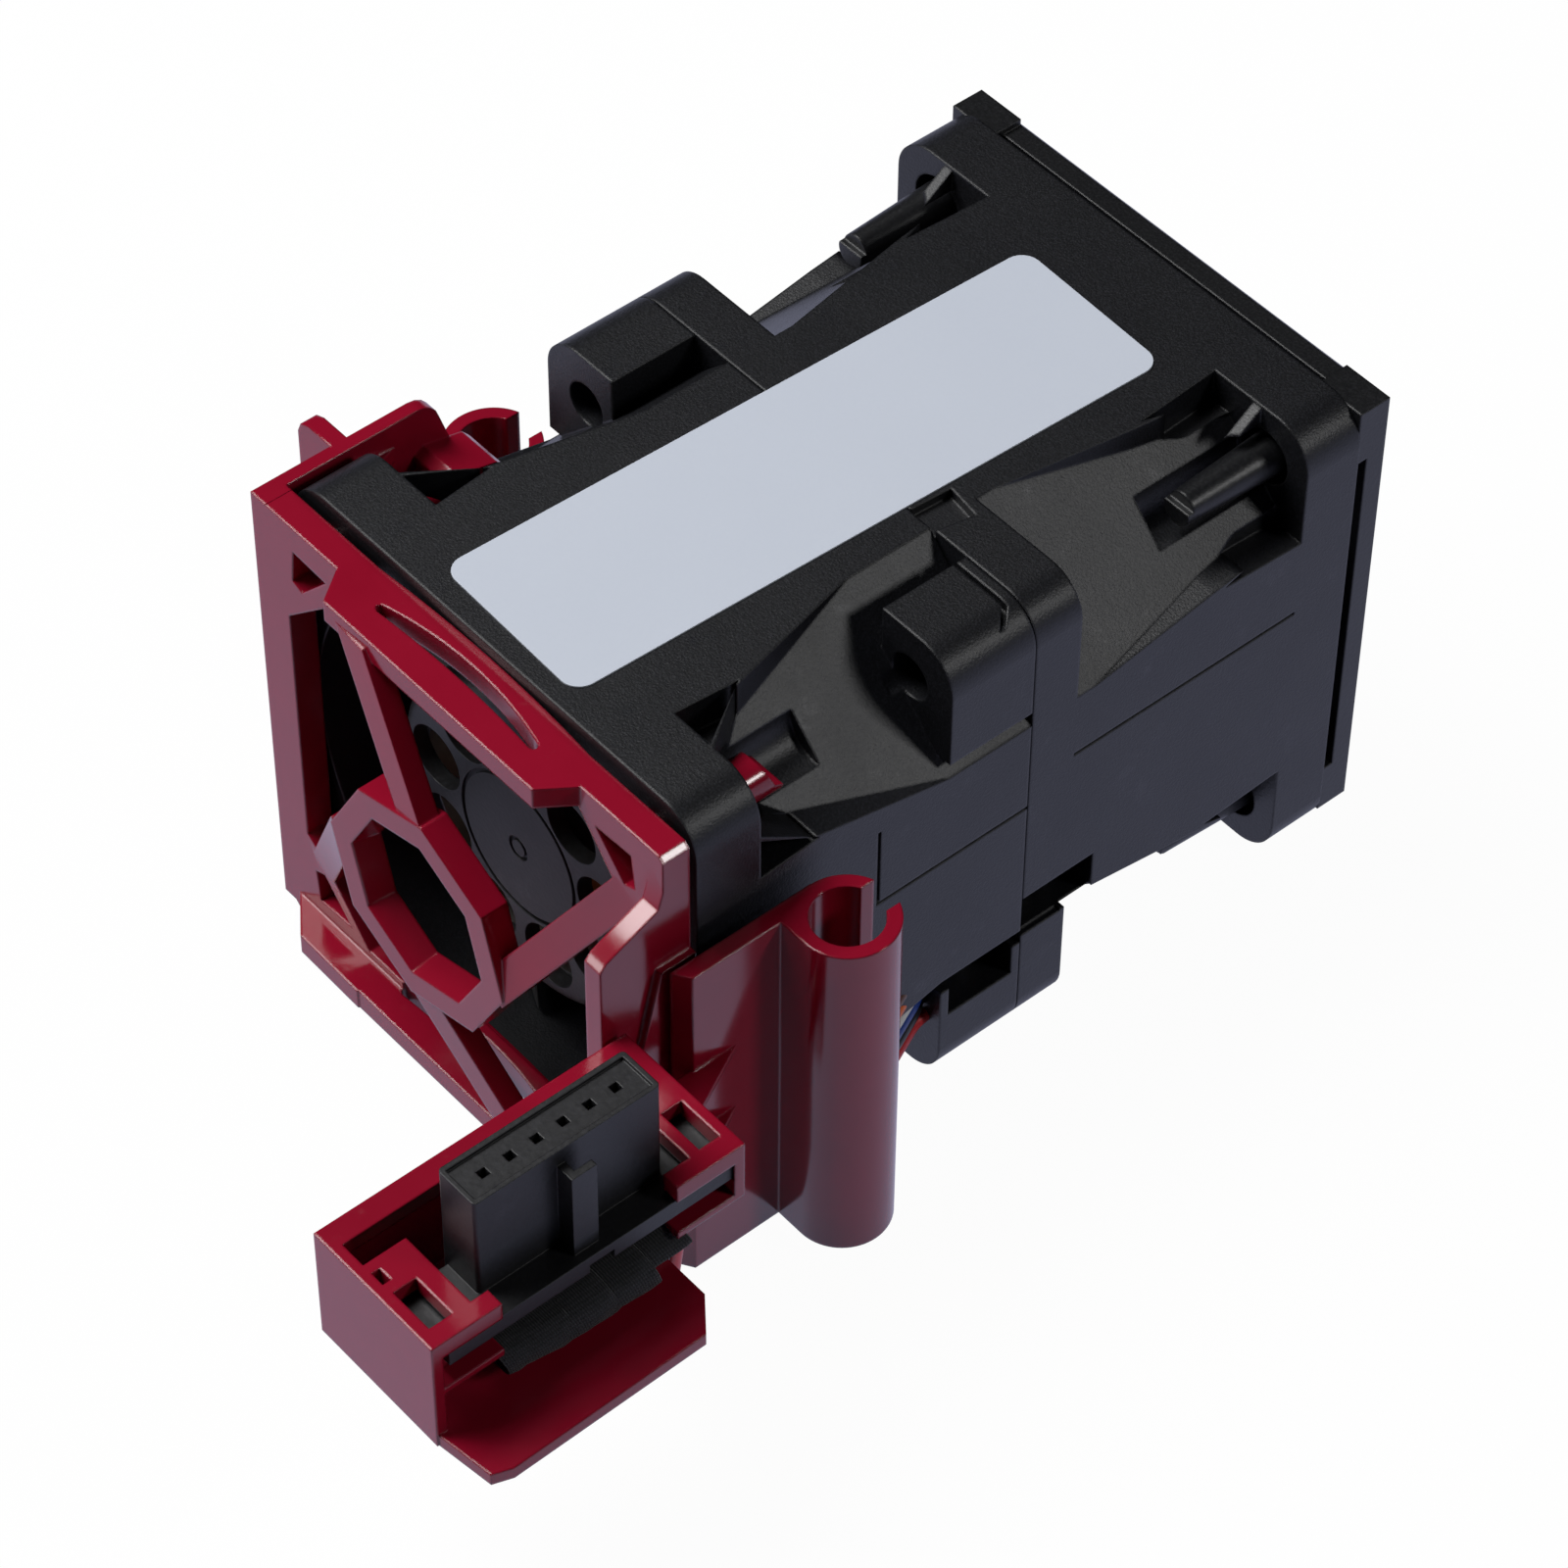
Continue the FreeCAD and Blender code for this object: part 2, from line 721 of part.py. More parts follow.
def low_nub():
    z0 = frame_low
    return along_z([(-16.2, bar_front), (-9.8, bar_front - 0.1), (-8.6, bar_front + 1.2), (-8.6, frame_front),
                    (-19.4, frame_front)], z0, z0 + bar_thick)


def sleeve(x, y, z1):
    body = upright(sleeve_r, sleeve_low, z1, x, y)
    rim = [e for e in body.Edges if isinstance(e.Curve, Part.Circle)]
    body = body.makeFillet(0.25, rim)
    body = body.cut(upright(sleeve_bore, sleeve_low - 1, z1 + 1, x, y))
    return body.cut(box(x - sleeve_slot / 2, x + sleeve_slot / 2, y, y + sleeve_r + 1, sleeve_low - 1, z1 + 1))


def recess_edge(y):
    return recess_mid + (recess_end - recess_mid) * (y - recess_mid_y) / (lug_front_y - recess_mid_y)


def left_side():
    x1 = -half - wall_gap
    x0 = x1 - wall_thick
    wall = along_x([(frame_front, frame_low + 0.4), (frame_front, frame_top), (11.8, frame_top),
                    (14.2, left_sleeve_top + 2), (14.2, frame_low + 0.4)], x0, x1)
    tie = box(x0, -half + 0.4, frame_front, frame_back, frame_low + 0.4, frame_top)
    fin = box(-fin_reach, x0 + 0.1, fin_y, fin_y + fin_thick, sleeve_low, frame_top)
    y0, y1 = shelf_start, left_wall_end
    z0, z1 = recess_edge(y0) + shelf_gap, recess_edge(y1) + shelf_gap
    shelf = along_x([(y0, z0), (y1, z1), (y1, z1 + shelf_thick), (y0, z0 + shelf_thick)], x1 - 0.1, -half + 3.5)
    shelf = shelf.cut(turned(box(-half, half, y0 - 1, y1 + 1, 0, wall_diag + shelf_gap), -45))
    snap = along_z([(x1 - 0.1, 5.4), (x1 + 1.0, 5.4), (x1 - 0.1, 8.4)], recess_start + 0.1, 17.0)
    snap = snap.cut(box(-19.0, -18.0, 0, 10, 10, 20))
    web = along_z([(x0, 13.6), (x1, 13.6), (x1, 16.2), (-21.6, 17.0), (left_sleeve_x - 0.6, 16.0)], sleeve_low, left_sleeve_top)
    tube_l = sleeve(left_sleeve_x, left_sleeve_y, left_sleeve_top)
    hollow = upright(sleeve_bore, sleeve_low - 1, frame_top, left_sleeve_x, left_sleeve_y)
    return [wall, tie, fin, shelf, snap, web.cut(hollow), tube_l]


def right_side():
    x0 = half
    x1 = half + post_thick
    post = along_x([(frame_back, frame_top - 0.7), (frame_front, frame_top - 0.7), (frame_front - 0.2, post_top + 0.9),
                    (-4.1, post_top), (post_reach, post_top - post_slope), (post_reach, side_low),
                    (frame_back, side_low)], x0, x1)
    tie = box(half - 0.3, x1, frame_front, frame_back, side_low, frame_top - 0.7)
    hole = upright(sleeve_bore, side_low - 1, side_top + 1, right_sleeve_x, right_sleeve_y)
    side = box(side_in, side_out, side_front, side_end, side_low, side_top)
    web = along_z([(side_in, 3.2), (side_out, 3.2), (side_out + 1.2, side_end + 0.3), (side_in + 0.7, 9.0),
                   (side_in, 7.0)], side_low, side_top)
    ribs = [along_x([(side_front, z), (side_front, z - 3.0), (side_end - 1, z + 0.5), (side_end - 1, z + 1.2)],
                    side_out - 0.1, side_out + 0.9) for z in (-1.6, -6.4)]
    tube_r = sleeve(right_sleeve_x, right_sleeve_y, side_top)
    z0, z1 = lead_z(pin_count - 1) - wire_r - 0.4, lead_z(0) + wire_r + 0.4
    yt = turn_y - wire_step * 2 - wire_r - 0.4
    gate = box(x0 - 1, side_in + 0.45, yt, frame_back + 1, z0, z1)
    port = box(x0 - 1, side_out + 2, yt, side_front, z0, z1)
    plates = [join([post, tie]).cut([gate, port]), side.cut(gate)]
    return plates + [web.cut(hole), tube_r] + ribs


def connector_box():
    y0 = box_far
    y1 = box_near
    inner = box_in + box_wall
    back = box(box_in, inner, y0, y1, box_low, box_top)
    far_end = along_y([(box_in, box_low + 2.1), (box_in + 0.8, box_low), (box_out, box_low), (box_out, box_top),
                       (box_in, box_top)], y0, y0 + box_wall)
    near_end = box(box_in, box_out, y1 - box_wall, y1, entry_z + wire_r + lead_clearance, box_top)
    rims = [box(box_in, inner + 1.2, y0, y1, box_top - 1.2, box_top)]
    rims += [box(box_in, box_out, y0, y0 + arm_reach - 1.3, box_top - 1.2, box_top)]
    rims += [box(box_in, box_out, y1 - arm_reach + 1.5, y1, box_top - 1.2, box_top)]
    windows = [box(26.6, 29.8, y0 + box_wall, y0 + 3.0, 0, box_top + 1)]
    windows += [box(26.4, 29.6, y1 - 2.7, y1 - box_wall, 0, box_top + 1)]
    arms = []
    for z0, z1 in ((rail_z1 + 0.1, box_top), (rail_z0 - 1.3, rail_z0 - 0.1)):
        arms.append(box(box_out - arm_depth, box_out, y0, y0 + arm_reach, z0, z1))
        arms.append(box(box_out - arm_depth, box_out, y1 - arm_reach, y1, z0, z1))
    arms = [softened(a, 0.55, edge_along(V(0, 0, 1), lambda c: c.x > box_out - 0.1 and c.y > y0 + 1 and c.y < y1 - 1)) for a in arms]
    tray = along_z([(box_in, y0), (box_out - 0.9, y0), (tray_out - 0.5, y0 + 0.7), (tray_out, y0 + 2.1),
                    (tray_out - 0.2, tray_near - 1.9), (33.9, tray_near), (box_in, tray_near)], box_low, box_low + tray_thick)
    back = back.fuse([far_end, near_end])
    body = join([back, tray] + [r.cut(windows) for r in rims] + arms)
    clear = box(conn_x0 - 0.15, rail_x1 + 0.15, conn_y0 - rail_over - 0.1, conn_y1 + rail_over + 0.1, rail_z0 - 0.05, rail_z1 + 0.05)
    block = box(conn_x0 - 0.15, conn_x1 + 0.15, conn_y0 - 0.15, conn_y1 + 0.15, 0, box_top + 1)
    return body.cut([clear, block])


def carrier():
    c = mount_pitch / 2
    pin = Part.makeCone(pin_base_r, pin_tip_r, flange_front + front_pin_len - frame_back, V(c, frame_back, c), V(0, 1, 0))
    pin = pin.cut(along_x([(flange_front + 2.4, c + 2), (20, c + 2), (20, c - 2), (flange_front + 3.2, c)], c - 3, c + 3))
    return join([guard()] + left_side() + right_side() + [connector_box()] + corners(pin))


def pin_y(i):
    mid = (conn_y0 + conn_y1) / 2
    return mid + pin_pitch * ((pin_count - 1) / 2 - i)


def connector_housing():
    body = box(conn_x0, conn_x1, conn_y0, conn_y1, conn_low, conn_top)
    body = softened(body, 0.3, edge_along(V(0, 0, 1), lambda c: True))
    rail = box(conn_x0 + 0.5, rail_x1, conn_y0 - rail_over, conn_y1 + rail_over, rail_z0, rail_z1)
    notch = box(rail_x1 - 0.6, rail_x1 + 1, -18.0, -16.1, rail_z0 - 1, rail_z0 + 0.7)
    mid_x = (conn_x0 + conn_x1) / 2
    key = along_z([(conn_x1 - 0.1, -18.6), (conn_x1 + 1.4, -18.6), (conn_x1 + 1.4, -16.7), (conn_x1 + 0.9, -16.7),
                   (conn_x1 + 0.9, -18.0), (conn_x1 - 0.1, -18.0)], rail_z1 - 0.1, conn_top - 1.3)
    body = join([body, rail.cut(notch), key])
    for i in range(pin_count):
        y = pin_y(i)
        c = cavity / 2
        m = mouth / 2
        wide = (wire_step + 2 * wire_r) / 2 + lead_clearance
        body = body.cut(box(mid_x - wide, mid_x + wide, y - c, y + c, conn_low - 1, crimp_z + 0.2))
        body = body.cut(box(mid_x - c, mid_x + c, y - c, y + c, conn_low, conn_top - 1.0))
        body = body.cut(box(mid_x - m, mid_x + m, y - m, y + m, conn_low, conn_top + 1))
    lip = box(conn_x0 + 0.35, conn_x1 - 0.35, conn_y0 + 0.35, conn_y1 - 0.35, conn_top - 0.25, conn_top + 1)
    return body.cut(lip)


def contacts():
    mid_x = (conn_x0 + conn_x1) / 2
    out = []
    for i in range(pin_count):
        y = pin_y(i)
        c = cavity / 2 - 0.03
        t = contact_thick
        z0 = conn_low + 4.6
        barrel = box(mid_x - c, mid_x + c, y - c, y + c, z0, conn_top - 1.1)
        barrel = barrel.cut(box(mid_x - c + t, mid_x + c - t, y - c + t, y + c - t, z0 - 1, conn_top))
        crimp = box(mid_x - c, mid_x + c, y - c, y - c + t, crimp_z, z0 + 0.1)
        out.append(barrel.fuse(crimp).removeSplitter())
    return Part.Compound(out)


def lead_z(i):
    return wire_top_z - wire_step * i


def lead_route(i, rear):
    rows = rear_rows if i in rear_rows else front_rows
    layer = rows.index(i)
    depth = joint - 1.5 - wire_step * layer
    start = pad_first + pad_step * layer
    z = lead_z(i)
    d = 1 / sqrt(2)
    board = board_y + board_thick
    motor = [V(start * d, board, -start * d), V(start * d, depth, -start * d), V(-z, depth, z), V(wire_x, depth, z)]
    if rear:
        motor = [V(p.x, 2 * joint - p.y, p.z) for p in motor]
    column = i % 2
    row = i // 2
    xe = entry_x + wire_step * column
    ze = entry_z - wire_step * row
    yt = turn_y - wire_step * row
    ye = pin_y(i)
    return motor + [V(wire_x, yt, z), V(xe, yt, z), V(xe, yt, ze), V(xe, ye, ze), V(xe, ye, crimp_z)]


def lead(i):
    points = lead_route(i, i in rear_rows)
    solid, run = swept(points, wire_r, lead_bends)
    print("lead", i, "length", round(run, 1), "bend radii", lead_bends)
    return solid


def tape_section(y, x0, x1, z0, z1, inset):
    ring = box(x0 + inset, x1 - inset, y, y + 1, z0 + inset, z1 - inset)
    ring = softened(ring, min(1.4, (z1 - z0) / 2 - inset - 0.15), edge_along(V(0, 1, 0), lambda c: True))
    face = [f for f in ring.Faces if abs(f.CenterOfMass.y - y) < 1e-6][0]
    return face.OuterWire


def tape_wrap():
    base = box_low + tray_thick + 0.03
    top = rail_z0 - 1.3 - 0.03
    stations = [(tape_near, 25.4, 30.4, base, top), (tape_near - 4.0, 25.2, 32.0, base, top),
                (tape_far + 4.5, 25.2, 32.6, base, top), (tape_far, 25.4, 31.2, base, top)]
    outer = Part.makeLoft([tape_section(*row, 0.0) for row in stations], True, False)
    stations[0] = (tape_near + 0.01,) + stations[0][1:]
    stations[-1] = (tape_far + tape_thick,) + stations[-1][1:]
    inner = Part.makeLoft([tape_section(*row, tape_thick) for row in stations], True, False)
    x0 = entry_x - wire_r - 0.3
    slot = box(x0, x0 + wire_step + 2 * wire_r + 0.6, pin_y(pin_count - 1) - 1.0, pin_y(0) + 3.0, 0, conn_top)
    return outer.cut([inner, slot])


def swept(points, r, bends):
    edges = []
    start = points[0]
    for a, b, c in zip(points, points[1:], points[2:]):
        u = (a - b).normalize()
        w = (c - b).normalize()
        turn = pi - u.getAngle(w)
        half_turn = turn / 2
        radius = bends[len(edges) // 2]
        trim = radius * tan(half_turn)
        p = b + u * trim
        q = b + w * trim
        mid_dir = (u + w).normalize()
        m = b + mid_dir * (radius / cos(half_turn) - radius)
        edges.append(Part.LineSegment(start, p).toShape())
        edges.append(Part.Arc(p, m, q).toShape())
        start = q
    edges.append(Part.LineSegment(start, points[-1]).toShape())
    path = Part.Wire(edges)
    heading = (points[1] - points[0]).normalize()
    ring = Part.Wire(Part.makeCircle(r, points[0], heading))
    solid = path.makePipeShell([ring], True, True)
    return solid, path.Length


def export(shape, name):
    shape.exportStep("parts/" + name + ".step")
    print(name, "volume", round(shape.Volume, 2), "solids", len(shape.Solids), "valid", shape.isValid())


def build_motor(side, count, bow_side):
    place = same if side == "front" else flipped
    nodes = {"impeller": impeller(count, bow_side), "rotor_yoke": rotor_yoke(), "magnet_ring": magnet_ring(),
             "hub_bush": bush(), "shaft": shaft(), "shaft_clip": shaft_clip(), "bearing_outers": bearing_outers(),
             "bearing_inners": bearing_inners(), "preload_spring": preload_spring(), "bearing_tube": bearing_tube(),
             "stator_core": stator_core(), "stator_insulator": stator_insulator(), "coils": coils(),
             "circuit_board": circuit_board()}
    for name, shape in nodes.items():
        export(place(shape), side + "_" + name)


def main():
    export(carrier(), "carrier")
    export(front_housing(), "front_housing")
    export(rear_housing(), "rear_housing")
    export(outlet_plate(), "outlet_plate")
    export(label(), "label")
    build_motor("front", front_blades, 1)
    build_motor("rear", rear_blades, -1)
    export(connector_housing(), "connector_housing")
    export(contacts(), "contacts")
    for i in range(pin_count):
        export(lead(i), "lead_" + lead_names[i])
    export(tape_wrap(), "tape_wrap")


main()
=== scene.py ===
import math

import bmesh
import bpy
from mathutils import Euler, Matrix, Vector


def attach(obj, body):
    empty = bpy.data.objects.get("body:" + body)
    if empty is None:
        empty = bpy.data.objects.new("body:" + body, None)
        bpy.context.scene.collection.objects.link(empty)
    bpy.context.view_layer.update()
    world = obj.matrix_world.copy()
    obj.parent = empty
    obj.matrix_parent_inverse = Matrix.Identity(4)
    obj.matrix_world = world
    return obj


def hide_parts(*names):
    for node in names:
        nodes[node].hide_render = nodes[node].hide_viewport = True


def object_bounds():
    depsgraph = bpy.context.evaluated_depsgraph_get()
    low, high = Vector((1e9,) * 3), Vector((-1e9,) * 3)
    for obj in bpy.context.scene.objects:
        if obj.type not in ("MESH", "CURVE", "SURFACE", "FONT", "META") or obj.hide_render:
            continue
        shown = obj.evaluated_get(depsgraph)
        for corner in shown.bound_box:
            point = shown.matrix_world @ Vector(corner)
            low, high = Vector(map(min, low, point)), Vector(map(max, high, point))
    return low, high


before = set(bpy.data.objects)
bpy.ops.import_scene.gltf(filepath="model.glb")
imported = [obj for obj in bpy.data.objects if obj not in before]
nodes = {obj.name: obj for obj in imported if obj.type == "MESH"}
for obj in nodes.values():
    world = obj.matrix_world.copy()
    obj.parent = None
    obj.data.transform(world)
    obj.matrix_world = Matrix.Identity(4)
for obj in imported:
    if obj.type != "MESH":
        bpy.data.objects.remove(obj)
cadLow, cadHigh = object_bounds()
print("frame loaded:", len(nodes), "nodes")

mm = 0.001


class Level:  # a socket that takes part in plain sums
    def __init__(self, bench, socket):
        self.bench = bench
        self.socket = socket

    def sum(self, kind, first, second):
        return self.bench.sum(kind, first, second)

    def __add__(self, other):
        return self.sum("ADD", self, other)

    def __sub__(self, other):
        return self.sum("SUBTRACT", self, other)

    def __rsub__(self, other):
        return self.sum("SUBTRACT", other, self)

    def __mul__(self, other):
        return self.sum("MULTIPLY", self, other)

    def __pow__(self, other):
        return self.sum("POWER", self, other)


class Bench:  # where one material's nodes are put together
    def __init__(self, name):
        self.material = bpy.data.materials.new(name)
        self.material.use_nodes = True
        self.tree = self.material.node_tree
        self.tree.nodes.clear()
        self.place = self.make("ShaderNodeTexCoord", out="Object")

    def make(self, kind, settings=None, sockets=None, out=0):
        node = self.tree.nodes.new(kind)
        for key, value in (settings or {}).items():
            setattr(node, key, value)
        for key, value in (sockets or {}).items():
            if isinstance(value, Level):
                self.tree.links.new(value.socket, node.inputs[key])
            else:
                node.inputs[key].default_value = value
        return Level(self, node.outputs[out])

    def stretched(self, size):  # pattern space: a size of (1, 8, 1) draws the pattern out across Y
        return self.make("ShaderNodeMapping", {}, {"Vector": self.place, "Scale": size})

    def noise(self, grain, detail=3.0, rough=0.5, where=None):  # grain in millimetres
        return self.make("ShaderNodeTexNoise", {}, {"Vector": where or self.place, "Scale": 1000.0 / grain,
                                                    "Detail": detail, "Roughness": rough})

    def cells(self, grain):
        return self.make("ShaderNodeTexVoronoi", {"feature": "F1"},
                         {"Vector": self.place, "Scale": 1000.0 / grain}, "Distance")

    def ramp(self, value, low, high):  # 0 below low, 1 above high
        return self.make("ShaderNodeMapRange", {"interpolation_type": "SMOOTHSTEP"},
                         {"Value": value, "From Min": low, "From Max": high})

    def blend(self, share, first, second):  # colours
        first = first if isinstance(first, Level) else (*first, 1)
        second = second if isinstance(second, Level) else (*second, 1)
        return self.make("ShaderNodeMix", {"data_type": "RGBA"}, {0: share, 6: first, 7: second}, 2)

    def between(self, share, low, high):  # numbers
        return share * (high - low) + low

    def relief(self, height, depth, under=None):  # depth in millimetres
        sockets = {"Height": height, "Distance": depth * mm, "Strength": 1.0}
        if under:
            sockets["Normal"] = under
        return self.make("ShaderNodeBump", {}, sockets)

    def softEdge(self, radius):  # the small round that a mould leaves on every edge
        return self.make("ShaderNodeBevel", {"samples": 6}, {"Radius": radius * mm})

    def axis(self, letter):
        return self.make("ShaderNodeSeparateXYZ", {}, {0: self.place}, letter)

    def sum(self, kind, first, second):
        return self.make("ShaderNodeMath", {"operation": kind}, {0: first, 1: second})

    def close(self, surface):
        end = self.tree.nodes.new("ShaderNodeOutputMaterial")
        self.tree.links.new(surface.socket, end.inputs["Surface"])
        return self.material

    def finish(self, varying, fixed=None):
        return self.close(self.make("ShaderNodeBsdfPrincipled", {}, {**(fixed or {}), **varying}, "BSDF"))


crimson = {"deep": (0.235, 0.0036, 0.017), "bright": (0.300, 0.0056, 0.025), "gloss": 0.15, "scuffed": 0.10,
           "edge": 0.26, "depth": 0.012, "index": 1.52, "shine": 0.6}


def crimsonPlastic():
    b = Bench("crimsonPlastic")
    cloud = b.noise(9.0, 3.0)
    flow = b.noise(2.2, 4.0)
    skin = b.noise(0.35, 2.0)
    scuffs = b.ramp(b.noise(1.4, 6.0, 0.7), 0.60, 0.72)
    colour = b.blend(cloud * 0.7 + flow * 0.3, crimson["deep"], crimson["bright"])
    rough = b.between(cloud, crimson["gloss"] - 0.04, crimson["gloss"] + 0.05) + scuffs * crimson["scuffed"]
    bump = b.relief(flow * 0.6 + skin * 0.12, crimson["depth"], b.softEdge(crimson["edge"]))
    return b.finish({"Base Color": colour, "Roughness": rough, "Normal": bump},
                    {"IOR": crimson["index"], "Specular IOR Level": crimson["shine"]})


def grainedBlack(name, base, speck, rough, grain, depth, edge):
    b = Bench(name)
    fine = b.noise(grain, 3.0, 0.65)
    pits = b.cells(grain * 1.6)
    cloud = b.noise(7.0, 4.0, 0.6)
    rub = b.ramp(b.noise(3.0, 7.0, 0.72), 0.56, 0.75)
    colour = b.blend(b.ramp(fine, 0.42, 0.78) * 0.75 + rub * 0.25, base, speck)
    roughness = b.between(fine, rough - 0.06, rough + 0.08) + cloud * 0.08 - rub * 0.07
    bump = b.relief(fine * 0.7 + pits * 0.5, depth, b.softEdge(edge))
    return b.finish({"Base Color": colour, "Roughness": roughness, "Normal": bump},
                    {"IOR": 1.5, "Specular IOR Level": 0.5})


film = {"dark": (0.53, 0.57, 0.655), "light": (0.57, 0.61, 0.69), "smooth": 0.34, "matt": 0.46, "depth": 0.006,
        "edge": 0.08}


def labelFilm():
    b = Bench("labelFilm")
    cloud = b.noise(11.0, 3.0)
    fibre = b.noise(0.25, 3.0)
    colour = b.blend(cloud * 0.6 + fibre * 0.4, film["dark"], film["light"])
    rough = b.between(fibre, film["smooth"], film["matt"])
    bump = b.relief(fibre * 0.5 + cloud, film["depth"], b.softEdge(film["edge"]))
    return b.finish({"Base Color": colour, "Roughness": rough, "Normal": bump}, {"IOR": 1.45})


def metal(name, dark, light, rough, stretch, grain=0.5, depth=0.004):
    b = Bench(name)
    brush = b.noise(grain, 4.0, 0.6, b.stretched(stretch))
    cloud = b.noise(4.0, 3.0)
    colour = b.blend(brush * 0.5 + cloud * 0.5, dark, light)
    roughness = b.between(brush, rough - 0.07, rough + 0.09)
    bump = b.relief(brush, depth, b.softEdge(0.06))
    return b.finish({"Base Color": colour, "Roughness": roughness, "Normal": bump}, {"Metallic": 1.0})


def plainPlastic(name, dark, light, rough, edge=0.06, grain=0.4, depth=0.004):
    b = Bench(name)
    fine = b.noise(grain, 3.0, 0.6)
    cloud = b.noise(3.0, 3.0)
    colour = b.blend(fine * 0.4 + cloud * 0.6, dark, light)
    roughness = b.between(cloud, rough - 0.06, rough + 0.08)
    bump = b.relief(fine, depth, b.softEdge(edge))
    return b.finish({"Base Color": colour, "Roughness": roughness, "Normal": bump}, {"IOR": 1.5})


enamel = {"dark": (0.30, 0.075, 0.022), "light": (0.62, 0.22, 0.085), "pitch": 2.2, "depth": 0.06, "edge": 0.1,
          "smooth": 0.22, "matt": 0.36, "metallic": 0.85}


def windings():
    b = Bench("windings")
    turns = b.make("ShaderNodeTexWave", {"bands_direction": "Z", "wave_profile": "SIN"},
                   {"Vector": b.place, "Scale": 1000.0 / enamel["pitch"], "Distortion": 0.6, "Detail": 2.0})
    cloud = b.noise(1.5, 3.0)
    colour = b.blend(turns * 0.6 + cloud * 0.4, enamel["dark"], enamel["light"])
    rough = b.between(cloud, enamel["smooth"], enamel["matt"])
    bump = b.relief(turns, enamel["depth"], b.softEdge(enamel["edge"]))
    return b.finish({"Base Color": colour, "Roughness": rough, "Normal": bump},
                    {"Metallic": enamel["metallic"]})


cloth = {"dark": (0.0028, 0.0028, 0.0032), "fluff": (0.020, 0.020, 0.023), "warp": 1.5, "weft": 1.1,
         "depth": 0.055, "smooth": 0.55, "matt": 0.85, "sheen": 0.2}


def clothTape():
    b = Bench("clothTape")
    weave = b.make("ShaderNodeUVMap", {"uv_map": "weave"})
    strands = b.make("ShaderNodeTexWave", {"bands_direction": "Y"},
                     {"Vector": weave, "Scale": cloth["warp"], "Distortion": 1.5, "Detail": 2.0,
                      "Detail Scale": 2.0}, "Fac")
    picks = b.make("ShaderNodeTexWave", {"bands_direction": "X"},
                   {"Vector": weave, "Scale": cloth["weft"], "Distortion": 1.0, "Detail": 2.0,
                    "Detail Scale": 2.0}, "Fac")
    fluff = b.noise(0.35, 5.0, 0.7)
    folds = b.noise(2.4, 4.0, 0.6)
    colour = b.blend(b.ramp(fluff, 0.50, 0.85) * 0.7 + strands * 0.3, cloth["dark"], cloth["fluff"])
    rough = b.between(fluff, cloth["smooth"], cloth["matt"])
    bump = b.relief(strands * 0.7 + strands * picks * 0.5 + fluff * 0.4 + folds * 1.4, cloth["depth"])
    return b.finish({"Base Color": colour, "Roughness": rough, "Normal": bump},
                    {"Sheen Weight": cloth["sheen"], "Sheen Roughness": 0.5})


finishes = {
    "carrier": crimsonPlastic(),
    "fan": grainedBlack("fanBlack", base=(0.0036, 0.0038, 0.0050), speck=(0.019, 0.020, 0.026),
                        rough=0.37, grain=0.12, depth=0.020, edge=0.26),
    "plate": grainedBlack("plateBlack", base=(0.0050, 0.0052, 0.0062), speck=(0.013, 0.0135, 0.016),
                          rough=0.34, grain=0.2, depth=0.012, edge=0.22),
    "impeller": grainedBlack("impellerBlack", base=(0.007, 0.007, 0.008), speck=(0.022, 0.022, 0.026),
                             rough=0.46, grain=0.3, depth=0.014, edge=0.12),
    "connector": grainedBlack("connectorBlack", base=(0.0065, 0.0065, 0.008), speck=(0.017, 0.017, 0.021),
                              rough=0.40, grain=0.3, depth=0.012, edge=0.12),
    "label": labelFilm(),
    "yoke": metal("yokeSteel", (0.30, 0.30, 0.31), (0.46, 0.46, 0.47), rough=0.34, stretch=(1, 6, 1)),
    "magnet": plainPlastic("bondedFerrite", (0.02, 0.019, 0.018), (0.045, 0.043, 0.04),
                           rough=0.7, edge=0.08, grain=0.25, depth=0.01),
    "brass": metal("turnedBrass", (0.50, 0.34, 0.12), (0.70, 0.50, 0.20), rough=0.24, stretch=(1, 8, 1)),
    "shaft": metal("groundSteel", (0.50, 0.50, 0.52), (0.66, 0.66, 0.68),
                   rough=0.16, stretch=(1, 9, 1), grain=0.3, depth=0.002),
    "bearing": metal("bearingSteel", (0.46, 0.46, 0.48), (0.62, 0.62, 0.64),
                     rough=0.2, stretch=(1, 8, 1), grain=0.3, depth=0.002),
    "spring": metal("springSteel", (0.34, 0.34, 0.36), (0.52, 0.52, 0.54),
                    rough=0.28, stretch=(2, 2, 2), grain=0.4),
    "lamination": metal("laminations", (0.22, 0.22, 0.23), (0.40, 0.40, 0.41),
                        rough=0.42, stretch=(1, 20, 1), grain=1.5, depth=0.02),
    "insulator": plainPlastic("naturalNylon", (0.62, 0.61, 0.53), (0.74, 0.73, 0.66), rough=0.42),
    "board": plainPlastic("boardMask", (0.010, 0.075, 0.030), (0.018, 0.12, 0.05), rough=0.3),
    "coil": windings(),
    "contact": metal("contactStrip", (0.52, 0.46, 0.30), (0.68, 0.62, 0.42),
                     rough=0.22, stretch=(1, 1, 4), grain=0.3, depth=0.003),
    "tape": clothTape(),
}
leadColours = {"black": (0.006, 0.006, 0.007), "brown": (0.10, 0.035, 0.012), "orange": (0.72, 0.13, 0.012),
               "white": (0.66, 0.66, 0.66), "blue": (0.012, 0.045, 0.26), "red": (0.52, 0.012, 0.016)}
